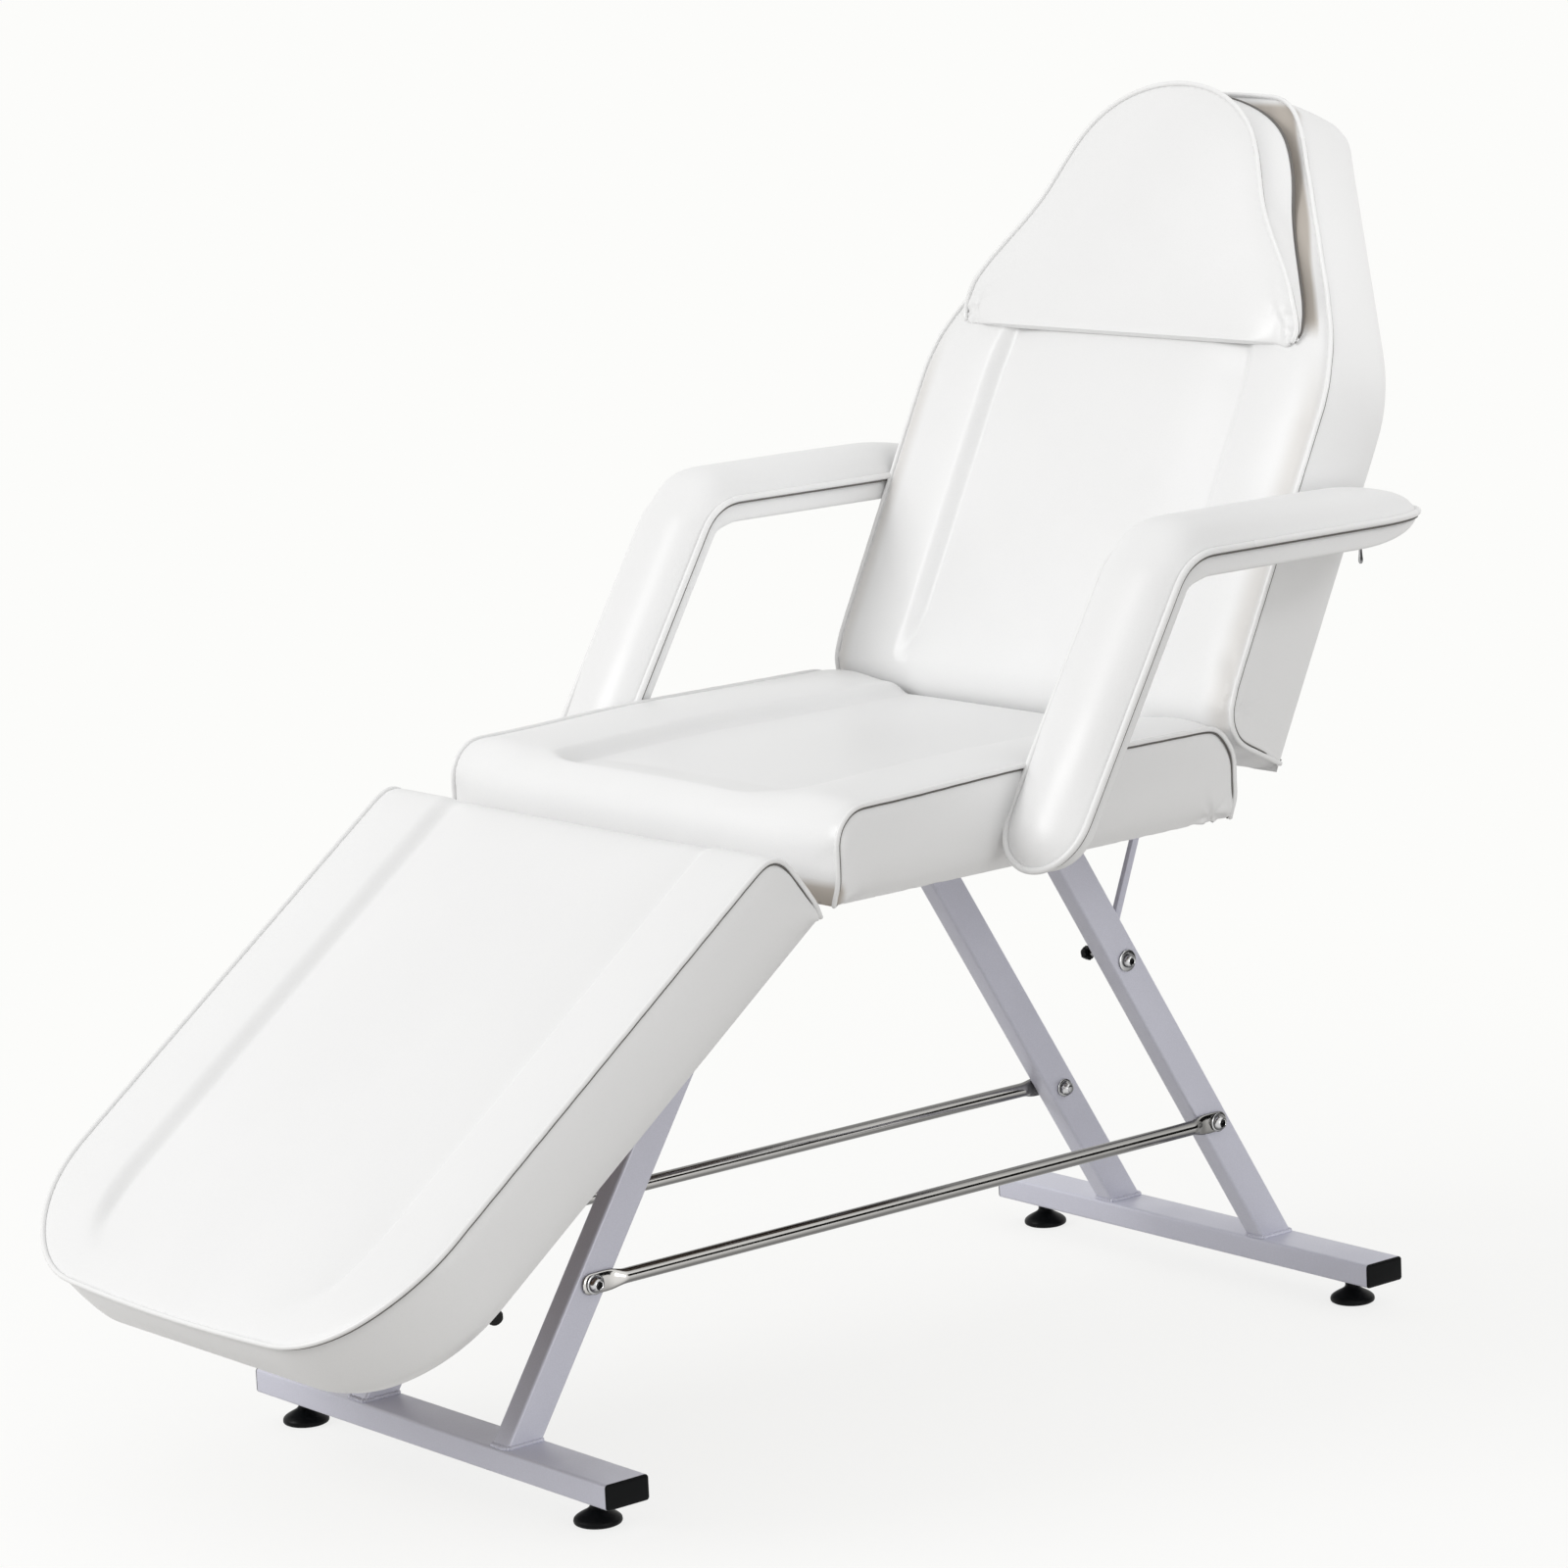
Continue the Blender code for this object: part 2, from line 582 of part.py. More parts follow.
def build_legrest():
    """The leg-rest cushion on its board, hinge arms, rack and bumpers. Local -Y runs to the feet."""
    top = LEGREST_UNDER + LEGREST_THICK
    end = LEGREST_START + LEGREST_LENGTH
    corner_start = end - LEGREST_CORNER

    def half_width(u):
        past = max(0.0, u - corner_start)
        square = max(0.0, LEGREST_CORNER ** 2 - past ** 2)
        return PAD_WIDTH / 2 - LEGREST_CORNER + math.sqrt(square)

    def relief(share, u):
        side = abs(share)
        crease = 1 - fade(u, end - 0.10, end - 0.05)
        rise = 0.007 * bump(side, 0.84, 0.16) * crease + 0.009 * (1 - fade(side, 0.1, 0.66))
        groove = 0.006 * bump(side, 0.68, 0.06) * crease
        ends = fade(u, LEGREST_START, LEGREST_START + 0.05) * (1 - fade(u, end - 0.06, end))
        return (rise - groove) * ends

    def bow(x, u):
        lower = fade(u, corner_start - LEGREST_LENGTH / 4, end)
        return LEGREST_BOW * (1 - (x / (PAD_WIDTH / 2)) ** 2) * lower

    rows = end_round(LEGREST_START, 1, LEGREST_ROUND)
    rows += [(u, 0.0) for u in spread(LEGREST_START + LEGREST_ROUND + 0.008, corner_start, 9)]
    for step in range(1, 6):
        angle = math.pi / 2 * step / 5
        drop = 0.006 * fade(step, 3, 5)
        rows.append((corner_start + LEGREST_CORNER * math.sin(angle), drop))
    pad = Pad(rows, half_width, top, LEGREST_UNDER, relief, bow, forward=-1)
    pad.on_board("legrest_cushion", "legrest_board", legrest)

    under = LEGREST_UNDER - GAP
    for side, sign in SIDES:
        low = LEG_OUTER + 0.001
        outline = ((0.010, -0.004), (0.004, -0.010), (0.010 - HINGE_ARM_REACH, -0.004),
                   (-HINGE_ARM_REACH, under), (-0.020, under), (-0.012, 0.010), (0.004, 0.010),
                   (0.010, 0.004))
        arm = plate_x("legrest_hinge_arm_" + side, outline, sign * low, sign * (low + 0.005), STEEL, legrest)
        cut(arm, legrest_pin_cutter)
        turns = [2 * math.pi * step / 12 for step in range(12)]
        levels = ((0.009, under), (0.008, under - 0.018), (0.006, under - 0.022))
        spot = (sign * (PAD_WIDTH / 2 - BUMPER_INSET), BUMPER_SETBACK - end)
        rings = [[(spot[0] + r * math.cos(a), spot[1] + r * math.sin(a), z) for a in turns]
                 for r, z in levels]
        loft("legrest_bumper_" + side, rings, RUBBER, legrest)
    build_rack("legrest_rack", legrest, -1, under, LEGREST_RACK_START, 10)


def build_backrest():
    """The backrest cushion on its board, hinge arms and rack. Local +Y runs to the head."""
    half_thick = BACK_HALF_THICK

    def half_width(u):
        taper = PAD_WIDTH / 2 - SHOULDER_TAPER * (u - SHOULDER_START)
        wide = -smooth_min(-smooth_min(PAD_WIDTH / 2, taper, 0.03), -HEAD_HALF_WIDTH, 0.010)
        past = max(0.0, u - (BACK_END - HEAD_CORNER))
        return wide - HEAD_CORNER + math.sqrt(max(0.0, HEAD_CORNER ** 2 - past ** 2))

    def relief(share, u):
        side = abs(share)
        crease = fade(u, 0.05, 0.12) * (1 - fade(u, 0.36, 0.46))
        rise = 0.006 * bump(side, 0.84, 0.16) * crease + 0.006 * (1 - fade(side, 0.1, 0.66))
        groove = 0.006 * bump(side, 0.68, 0.06) * crease
        ends = fade(u, BACK_START, BACK_START + 0.07) * (1 - fade(u, BACK_END - 0.05, BACK_END))
        return (rise - groove) * ends

    def bow(x, u):
        return 0.006 * (1 - (x / HEAD_HALF_WIDTH) ** 2) * fade(u, BACK_END - 0.05, BACK_END)

    corner_start = BACK_END - HEAD_CORNER
    rows = end_round(BACK_START, 1, 0.040)
    rows += [(u, 0.0) for u in spread(BACK_START + 0.050, SHOULDER_START - 0.03, 6)]
    rows += [(u, 0.0) for u in spread(SHOULDER_START, corner_start, 8)]
    rows += [(corner_start + HEAD_CORNER * math.sin(math.pi / 2 * k / 5), 0.006 * fade(k, 3, 5))
             for k in range(1, 6)]
    pad = Pad(rows, half_width, half_thick, -half_thick, relief, bow)
    pad.on_board("backrest_cushion", "backrest_board", backrest)

    rear = -half_thick - GAP
    for side, sign in SIDES:
        low = LEG_OUTER + 0.0065
        outline = ((-0.010, 0.004), (-0.004, 0.010), (0.004, 0.010), (0.010, 0.004), (0.010, rear),
                   (HINGE_ARM_REACH, rear), (HINGE_ARM_REACH - 0.010, rear - 0.014),
                   (-0.004, rear - 0.014), (-0.010, rear - 0.006))
        name = "backrest_hinge_arm_" + side
        arm = plate_x(name, outline, sign * low, sign * (low + 0.005), STEEL, backrest)
        cut(arm, backrest_pin_cutter)
    build_rack("backrest_rack", backrest, 1, rear, BACK_RACK_START, 12)


def build_rack(name, parent, forward, surface, start, teeth):
    """A toothed bar screwed to a board, with notches for a prop to rest in."""
    pitch = 0.014
    tip = surface - (PROP_STANDOFF - 0.80 * PROP_BAR)
    valley = surface - 0.005
    outline = [(start, surface)]
    for tooth in range(teeth):
        outline += [(start + pitch * tooth, valley), (start + pitch * (tooth + 0.70), tip),
                    (start + pitch * (tooth + 0.85), tip)]
    outline += [(start + pitch * teeth, valley), (start + pitch * teeth, surface)]
    low = PROP_CENTRE - 0.0125
    plate_x(name, [(forward * u, z) for u, z in outline], low, low + 0.025, STEEL, parent)


def build_pillow():
    """The head pillow, hinged along its lower edge on a sewn flap."""
    seat_z = BACK_HALF_THICK + 0.0090
    frame = empty("head_pillow_hinge_frame", backrest, (0, PILLOW_BASE, seat_z), PILLOW_TILT)
    dome_start = PILLOW_HEIGHT - PILLOW_DOME

    def half_width(u):
        past = max(0.0, u - dome_start) / PILLOW_DOME
        foot = max(0.0, 0.020 - u)
        flare = (PILLOW_HALF_WIDTH - PILLOW_TOP_HALF_WIDTH) * bump(u, 0.0, PILLOW_HEIGHT * 0.8) ** 1.3
        wide = (PILLOW_TOP_HALF_WIDTH + flare) * max(0.002, 1 - past ** 2.2) ** (1 / 2.2)
        return wide + math.sqrt(0.020 ** 2 - foot ** 2) - 0.020

    def front(share, u):
        middle = (1 - share ** 2) * fade(u, 0.0, 0.09) * (1 - fade(u, PILLOW_HEIGHT - 0.07, PILLOW_HEIGHT))
        return PILLOW_FOOT_THICK + 0.009 * middle

    def back(share, u):
        return 0.0012 - PILLOW_FILL * fade(u, 0.0, 0.13) * (0.45 + 0.55 * share ** 2)

    low = [0.020 * (1 - math.cos(math.pi / 2 * k / 3)) for k in range(3)]
    high = [dome_start + PILLOW_DOME * math.sin(math.pi / 2 * k / 7) for k in range(8)]
    shares = spread(-1.0, 1.0, 11)
    us = low + spread(0.020, dome_start, 6)[:-1] + high
    plan = [[(share * half_width(u), u, 0.0) for share in shares] for u in us]
    bm = bmesh.new()
    layers = []
    for surface in (front, back):
        layers.append([[bm.verts.new((x, u, surface(share, u))) for share, (x, _, _) in zip(shares, row)]
                       for u, row in zip(us, plan)])
    for layer in layers:
        for low_row, high_row in zip(layer, layer[1:]):
            for here in range(len(shares) - 1):
                bm.faces.new((low_row[here], low_row[here + 1], high_row[here + 1], high_row[here]))
    upper = Pad.border(layers[0])
    lower = Pad.border(layers[1])
    drawn = Pad.moved_in(Pad.border(plan), 0.0035)
    middle = [bm.verts.new((x, u, (a.co.z + b.co.z) / 2)) for (x, u, _), a, b in zip(drawn, upper, lower)]
    for first, second in ((upper, middle), (middle, lower)):
        for here in range(len(first)):
            after = (here + 1) % len(first)
            bm.faces.new((first[here], first[after], second[after], second[here]))
    add("head_pillow", bm, LEATHER, frame)
    flap_z = BACK_HALF_THICK + 0.0065
    section = ((PILLOW_BASE + 0.002, flap_z), (PILLOW_BASE + 0.030, flap_z),
               (PILLOW_BASE + 0.030, seat_z + 0.0014), (PILLOW_BASE + 0.002, seat_z + 0.0005))
    reach = PILLOW_HALF_WIDTH - 0.060
    plate_x("pillow_hinge_flap", section, -reach, reach, LEATHER, backrest)


def build_prop(name, front):
    """A flat prop swinging on a left leg's pivot bolt, its tip resting in a rack."""
    pivot = Vector((leg_y(front, PIVOT_Z), PIVOT_Z))
    hinge = Vector(LEGREST_HINGE if front else BACK_HINGE)
    turn = math.radians(LEGREST_DROP if front else BACK_RAISE)
    away = pivot - hinge
    level = -away.x * math.sin(turn) + away.y * math.cos(turn)
    surface = LEGREST_UNDER if front else -BACK_HALF_THICK
    lift = math.degrees(math.asin((surface - PROP_STANDOFF - level) / PROP_LENGTH))
    angle = LEGREST_DROP - lift if front else BACK_RAISE + lift
    forward = -1 if front else 1
    frame = empty(name + "_frame", base, (0, *pivot), angle)
    half = PROP_BAR / 2
    eye = [(0.008 * math.cos(a), 0.008 * math.sin(a)) for a in spread(math.pi / 6, math.pi * 11 / 6, 9)]
    outline = eye + [(PROP_LENGTH - 0.002, -half), (PROP_LENGTH + half, -half + 0.002),
                     (PROP_LENGTH + half, half - 0.002), (PROP_LENGTH - 0.002, half)]
    rings = [[(x, forward * u, z) for u, z in outline]
             for x in (PROP_CENTRE - PROP_THICK / 2, PROP_CENTRE + PROP_THICK / 2)]
    return loft(name, rings, STEEL, frame)


tie_cutters = {}
prop_cutters = {}
for end, front, bar_y in ENDS:
    tie_cutters[end] = pin_cutter("tie_cutter_" + end, base, (leg_y(front, TIE_Z), TIE_Z), 0.0040 + GAP, 0.20)
    spot = (leg_y(front, PIVOT_Z), PIVOT_Z)
    prop_cutters[end] = pin_cutter("pivot_cutter_" + end, base, spot, 0.0030 + GAP, 0.20)
    build_foot_bar(end, bar_y)
    build_pivot_bolt(end, front)
    for side, sign in SIDES:
        holes = (tie_cutters[end], prop_cutters[end]) if sign > 0 else (tie_cutters[end],)
        build_leg(end, front, side, sign, holes)
        build_tie_bolt(end, front, side, sign)

for side, sign in SIDES:
    build_tie_rod(side, sign, tie_cutters.values())
    build_arm(side, sign)
    build_zip_pull(side, sign)

build_rails()
build_seat()
build_legrest()
build_backrest()
build_pillow()
cut(build_prop("legrest_prop", True), prop_cutters["front"])
cut(build_prop("backrest_prop", False), prop_cutters["rear"])

# The bed stands with the middle of its plan over the origin.
bpy.context.view_layer.update()
reach = [(thing.matrix_world @ vert.co).y for thing in bpy.data.objects
         if thing.type == "MESH" and not thing.hide_render for vert in thing.data.vertices]
base.location.y = -(min(reach) + max(reach)) / 2
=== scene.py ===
"""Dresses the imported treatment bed: upholstery, welded steel base, fittings, studio and camera."""

from __future__ import annotations

import json
import logging
import math
from dataclasses import dataclass, field
from enum import Enum
from typing import Callable, Iterable, Sequence

import bmesh
import bpy
import numpy as np
from mathutils import Matrix, Vector
from mathutils.kdtree import KDTree

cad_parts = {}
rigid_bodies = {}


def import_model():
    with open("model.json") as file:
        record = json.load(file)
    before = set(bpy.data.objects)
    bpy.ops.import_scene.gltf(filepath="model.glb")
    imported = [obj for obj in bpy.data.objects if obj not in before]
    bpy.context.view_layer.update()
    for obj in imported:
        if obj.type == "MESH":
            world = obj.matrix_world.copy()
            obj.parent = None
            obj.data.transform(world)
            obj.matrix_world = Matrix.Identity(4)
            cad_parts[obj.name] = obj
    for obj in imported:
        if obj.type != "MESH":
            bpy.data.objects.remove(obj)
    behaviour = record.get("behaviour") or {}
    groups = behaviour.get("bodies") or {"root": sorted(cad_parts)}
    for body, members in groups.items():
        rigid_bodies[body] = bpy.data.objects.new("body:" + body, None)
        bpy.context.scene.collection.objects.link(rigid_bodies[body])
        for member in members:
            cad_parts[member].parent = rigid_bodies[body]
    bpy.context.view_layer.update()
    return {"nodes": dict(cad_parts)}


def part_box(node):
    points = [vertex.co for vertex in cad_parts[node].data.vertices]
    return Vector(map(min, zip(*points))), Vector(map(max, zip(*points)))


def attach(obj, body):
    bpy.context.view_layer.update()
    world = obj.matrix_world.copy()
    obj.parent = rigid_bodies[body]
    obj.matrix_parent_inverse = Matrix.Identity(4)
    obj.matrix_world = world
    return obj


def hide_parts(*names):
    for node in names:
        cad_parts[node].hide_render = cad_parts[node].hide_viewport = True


LOG = logging.getLogger("treatment_bed")

# Metres throughout. PLAN_SHIFT takes the drawing's Y to the bed's frame.
PLAN_SHIFT = 0.127005

# Marks a hexagonal station of a turned piece.
HEX = True
# Edges of a sewn cord that turn by more degrees than this stay sharp.
CORD_CRISP = 60.0
# Distance over which a seam's painted shade and puckering die out on the cover.
SEAM_REACH = 0.03
CLOTH_FRAMES = 14
CLOTH = {
    "use_pressure": True,
    "vertex_group_mass": "held",
    "pin_stiffness": 1.0,
    "quality": 4,
    "tension_stiffness": 30.0,
    "compression_stiffness": 20.0,
    "shear_stiffness": 12.0,
    "bending_stiffness": 1.2,
}

Array = np.ndarray
Number = np.ndarray | float
Piece = bpy.types.Object
Material = bpy.types.Material
Node = bpy.types.Node
Socket = bpy.types.NodeSocket
Point = tuple[float, float, float]
Placing = Callable[[Array], Array]


class Body(str, Enum):
    """The moving bodies that pieces ride on."""

    BASE = "base"
    LEGREST = "legrest"
    BACKREST = "backrest"
    PILLOW = "head_pillow"


class Slot(str, Enum):
    """The record's material slots."""

    LEATHER = "leatherette"
    STEEL = "frame_steel"
    CHROME = "chrome"
    ZINC = "zinc"
    BLACK = "black_plastic"
    RUBBER = "rubber"
    PLYWOOD = "plywood"
    ZIP = "zip_metal"


class Side(Enum):
    """The two sides of the bed, with the sign of X on each."""

    LEFT = 1
    RIGHT = -1

    @property
    def word(self) -> str:
        """The side's name as the nodes spell it."""
        return self.name.lower()


def fade(value: Number, low: float, high: float) -> Number:
    """Zero below low, one above high, smooth between."""
    share = np.clip((np.asarray(value, float) - low) / (high - low), 0.0, 1.0)
    return share * share * (3 - 2 * share)


def hump(value: Number, centre: float, half: float) -> Number:
    """A cosine hump of height one, zero beyond its half width."""
    away = np.clip(np.abs(np.asarray(value, float) - centre) / half, 0.0, 1.0)
    return 0.5 + 0.5 * np.cos(np.pi * away)


def window(value: Number, rise: float, full: float, fall: float, gone: float) -> Number:
    """One between full and fall, fading to zero at rise and at gone."""
    return fade(value, rise, full) * (1 - fade(value, fall, gone))


def smooth_min(a: Number, b: Number, blend: float) -> Number:
    """The smaller of two values with a rounded changeover."""
    share = np.clip(0.5 + 0.5 * (np.asarray(b, float) - a) / blend, 0.0, 1.0)
    return b * (1 - share) + a * share - blend * share * (1 - share)


def rounding(distance: Array, reach: float, power: float) -> Array:
    """A share that falls to nothing over the last stretch before an end."""
    return np.maximum(1e-4, 1 - np.clip(1 - distance / reach, 0.0, 1.0) ** 2) ** power


def unit(vectors: Array) -> Array:
    """Rows of vectors scaled to length one."""
    length = np.linalg.norm(vectors, axis=-1, keepdims=True)
    return vectors / np.maximum(length, 1e-9)


@dataclass(frozen=True)
class JointFrame:
    """A piece's own axes: an origin in the bed's frame and a turn about X in degrees."""

    origin: Point
    turn: float

    def place(self, points: Array) -> Array:
        """Takes points, on the array's last axis, from these axes to the bed's frame."""
        return points @ self.matrix().T + np.array(self.origin)

    def undo(self, points: Array) -> Array:
        """Takes points from the bed's frame back to these axes."""
        return (points - np.array(self.origin)) @ self.matrix()

    def swing(self, ways: Array) -> Array:
        """Turns directions from these axes to the bed's."""
        return ways @ self.matrix().T

    def matrix(self) -> Array:
        """The turn as a 3 by 3 matrix."""
        c, s = math.cos(math.radians(self.turn)), math.sin(math.radians(self.turn))
        return np.array(((1, 0, 0), (0, c, -s), (0, s, c)))


LEVEL = JointFrame((0.0, PLAN_SHIFT, 0.0), 0.0)


# Shader node groups and finishes


class NodeTree:
    """A short way to add and join nodes."""

    def __init__(self, tree: bpy.types.NodeTree) -> None:
        """Keeps the tree that nodes are added to."""
        self.tree = tree

    def add(self, kind: str, settings: dict | None = None, **inputs: object) -> Node:
        """Adds a node.

        Args:
            kind: The node's type name.
            settings: Properties of the node itself.
            inputs: Socket values or output sockets, by socket name with underscores for spaces.

        Returns:
            The new node.
        """
        node = self.tree.nodes.new(kind)
        for key, value in (settings or {}).items():
            setattr(node, key, value)
        self.set(node, **inputs)
        return node

    def set(self, node: Node, **inputs: object) -> None:
        """Feeds a node's inputs by name, with underscores for spaces."""
        for key, value in inputs.items():
            self.feed(node.inputs[key.replace("_", " ")], value)

    def feed(self, socket: Socket, value: object) -> None:
        """Links an output socket to an input, or sets a plain value on it.

        Args:
            socket: The input.
            value: An output socket or a plain value.
        """
        if isinstance(value, Socket):
            self.tree.links.new(value, socket)
        else:
            socket.default_value = value

    def run(self, kind: str, settings: dict | None, *values: object) -> Socket:
        """The first output of a new node whose inputs are fed in their order.

        Args:
            kind: The node's type.
            settings: Its settings by name.
            values: What its inputs take, in order.

        Returns:
            The node's first output.
        """
        node = self.add(kind, settings)
        for socket, value in zip(node.inputs, values):
            self.feed(socket, value)
        return node.outputs[0]

    def math(self, operation: str, *values: object) -> Socket:
        """The result of a math node on values or sockets."""
        return self.run("ShaderNodeMath", {"operation": operation}, *values)

    def ramp(self, value: object, low: float, high: float, out: tuple[float, float] = (0.0, 1.0)) -> Socket:
        """A value remapped from low..high to the out range and held there.

        Args:
            value: What is remapped.
            low: Where the ramp starts.
            high: Where it ends.
            out: What it gives at either end.

        Returns:
            The remapped value.
        """
        node = self.add("ShaderNodeMapRange", {"interpolation_type": "SMOOTHSTEP"}, Value=value,
                        From_Min=low, From_Max=high, To_Min=out[0], To_Max=out[1])
        return node.outputs["Result"]

    def mix(self, share: object, first: object, second: object) -> Socket:
        """A colour mixed from two by a share.

        Args:
            share: How much of the second.
            first: The first colour.
            second: The second colour.

        Returns:
            The mixed colour.
        """
        node = self.add("ShaderNodeMix", {"data_type": "RGBA"}, Factor=share)
        self.feed(node.inputs[6], first)
        self.feed(node.inputs[7], second)
        return node.outputs[2]

    def stain(self, tint: object, mask: Socket, amount: float, colour: object) -> Socket:
        """A tint drawn towards a colour by an amount of a mask."""
        return self.mix(self.math("MULTIPLY", mask, amount), tint, colour)

    def bump(self, height: Socket, strength: float, distance: float, **under: Socket) -> Socket:
        """A normal raised by a height, over another normal if one is given."""
        node = self.add("ShaderNodeBump", Strength=strength, Distance=distance, Height=height, **under)
        return node.outputs["Normal"]

    def effect(self, group: bpy.types.NodeTree, **inputs: object) -> bpy.types.NodeOutputs:
        """Places a shared effect with its own values and gives its outputs."""
        return self.add("ShaderNodeGroup", {"node_tree": group}, **inputs).outputs

    def seen(self) -> Socket:
        """One for rays that show a surface: from the camera, mirrored or through glass.

        Returns:
            The ray mask.
        """
        path = self.add("ShaderNodeLightPath").outputs
        shown = self.math("MAXIMUM", path["Is Camera Ray"], path["Is Glossy Ray"])
        return self.math("MAXIMUM", shown, path["Is Transmission Ray"])


def new_group(name: str, numbers: dict[str, float],
              outputs: Sequence[str]) -> tuple[NodeTree, bpy.types.NodeOutputs, Node]:
    """Starts a shader node group that takes a vector and some numbers and gives numbers.

    Args:
        name: The group's name.
        numbers: The default of each number that it takes, by name.
        outputs: The names of the numbers that it gives.

    Returns:
        The group's tree, the sockets of what it takes and its output node.
    """
    tree = bpy.data.node_groups.new(name, "ShaderNodeTree")
    tree.interface.new_socket(name="Vector", in_out="INPUT", socket_type="NodeSocketVector")
    for label, default in numbers.items():
        socket = tree.interface.new_socket(name=label, in_out="INPUT", socket_type="NodeSocketFloat")
        socket.default_value = default
    for label in outputs:
        tree.interface.new_socket(name=label, in_out="OUTPUT", socket_type="NodeSocketFloat")
    made = NodeTree(tree)
    return made, made.add("NodeGroupInput").outputs, made.add("NodeGroupOutput")


class Effects:
    """The shader effects that several finishes share, each built once as a node group."""

    def __init__(self) -> None:
        """Builds the groups."""
        self.grain = self._grain()
        self.clouding = self._clouding()
        self.speckle = self._speckle()

    @staticmethod
    def _grain() -> bpy.types.NodeTree:
        """Pebbled hide grain: a height and a mask of its valleys.

        Returns:
            The node group.
        """
        made, start, end = new_group("hide_grain", {"Scale": 700.0}, ("Height", "Valley"))
        where = start["Vector"]
        warp = made.add("ShaderNodeTexNoise", Vector=where, Scale=160.0, Detail=2.0)
        moved = made.run("ShaderNodeVectorMath", {"operation": "MULTIPLY_ADD"}, warp.outputs["Color"],
                         (0.0009, 0.0009, 0.0009), where)
        cells = made.add("ShaderNodeTexVoronoi", {"feature": "SMOOTH_F1"}, Vector=moved, Scale=start["Scale"])
        dip = cells.outputs["Distance"]
        pore = made.add("ShaderNodeTexNoise", Vector=where, Scale=1900.0, Detail=1.0)
        rise = made.math("SUBTRACT", made.math("MULTIPLY", pore.outputs["Fac"], 0.25), dip)
        made.set(end, Height=rise, Valley=made.ramp(dip, 0.35, 0.75))
        return made.tree

    @staticmethod
    def _clouding() -> bpy.types.NodeTree:
        """Slow, soft variation between a low and a high value.

        Returns:
            The node group.
        """
        made, start, end = new_group("soft_clouding", {"Scale": 6.0, "Low": 0.3, "High": 0.5},
                                     ("Value", "Mask"))
        noise = made.add("ShaderNodeTexNoise", Vector=start["Vector"], Scale=start["Scale"], Detail=3.0,
                         Roughness=0.55)
        mask = made.ramp(noise.outputs["Fac"], 0.3, 0.7)
        reach = made.math("SUBTRACT", start["High"], start["Low"])
        made.set(end, Value=made.math("MULTIPLY_ADD", mask, reach, start["Low"]), Mask=mask)
        return made.tree

    @staticmethod
    def _speckle() -> bpy.types.NodeTree:
        """Fine flakes and orange peel: a height and a flake mask.

        Returns:
            The node group.
        """
        made, start, end = new_group("fine_speckle", {"Scale": 900.0}, ("Height", "Flake"))
        flakes = made.add("ShaderNodeTexVoronoi", Vector=start["Vector"], Scale=start["Scale"])
        peel = made.add("ShaderNodeTexNoise", Vector=start["Vector"], Detail=1.0,
                        Scale=made.math("MULTIPLY", start["Scale"], 0.3))
        made.set(end, Height=peel.outputs["Fac"], Flake=made.ramp(flakes.outputs["Color"], 0.2, 0.9))
        return made.tree


@dataclass(frozen=True)
class Finish:
    """What every finish has: a name and a colour."""

    name: str
    colour: Point

    def start(self) -> tuple[Material, NodeTree, Node, Socket]:
        """Starts the material.

        Returns:
            The material, its tree, its Principled shader and the object coordinates.
        """
        material = bpy.data.materials.new(self.name)
        material.use_nodes = True
        material.diffuse_color = (*self.colour, 1.0)
        made = NodeTree(material.node_tree)
        shader = material.node_tree.nodes["Principled BSDF"]
        where = made.add("ShaderNodeTexCoord").outputs["Object"]
        return material, made, shader, where

    def tone(self, *factors: float) -> tuple[float, ...]:
        """The colour times one factor, or one for each channel, with alpha."""
        return (*(channel * factor for channel, factor in zip(self.colour, factors * 3)), 1.0)


@dataclass(frozen=True)
class Leatherette(Finish):
    """Coated upholstery cloth with a fine grain, puckered in its seams, with painted shade along its seams
    and in the places that a cover marks.
    """

    roughness: float = 0.36
    grain: float = 0.10
    pucker: float = 0.55
    # Colour of the painted tan shade.
    dull: Point = (0.56, 0.51, 0.455)

    def build(self, effects: Effects) -> Material:
        """Makes the material.

        Args:
            effects: The shared shader effects.

        Returns:
            The material.
        """
        material, made, shader, where = self.start()
        grain = made.effect(effects.grain, Vector=where, Scale=820.0)
        cloud = made.effect(effects.clouding, Vector=where, Scale=5.0, Low=self.roughness - 0.04,
                            High=self.roughness + 0.05)
        seam, gather, shelter = (
            made.add("ShaderNodeAttribute", {"attribute_name": label}).outputs["Fac"]
            for label in ("seam", "gather", "shelter"))
        tint = made.mix(cloud["Mask"], self.tone(0.985), self.tone(1.0))
        tint = made.stain(tint, grain["Valley"], 0.10, self.tone(0.86))
        # Painted shade: the colour darkens next to each seam, where the crease by the piping lies in shadow.
        tint = made.stain(tint, made.ramp(seam, 0.84, 1.0), 0.30, self.tone(0.55))
        # Painted shade: a tan shadow tone mixed in where the cover's attribute marks shade.
        tint = made.mix(shelter, tint, self.tone(*self.dull))
        fold = made.add("ShaderNodeTexNoise", Vector=where, Scale=85.0, Detail=2.0, Roughness=0.45)
        by_seam = made.math("MULTIPLY", made.ramp(seam, 0.25, 1.0), gather)
        broad = made.bump(made.math("MULTIPLY", fold.outputs["Fac"], by_seam), self.pucker, 0.004)
        made.set(shader, Base_Color=tint, Roughness=cloud["Value"], Specular_IOR_Level=0.45,
                 Normal=made.bump(grain["Height"], self.grain, 0.0004, Normal=broad))
        return material


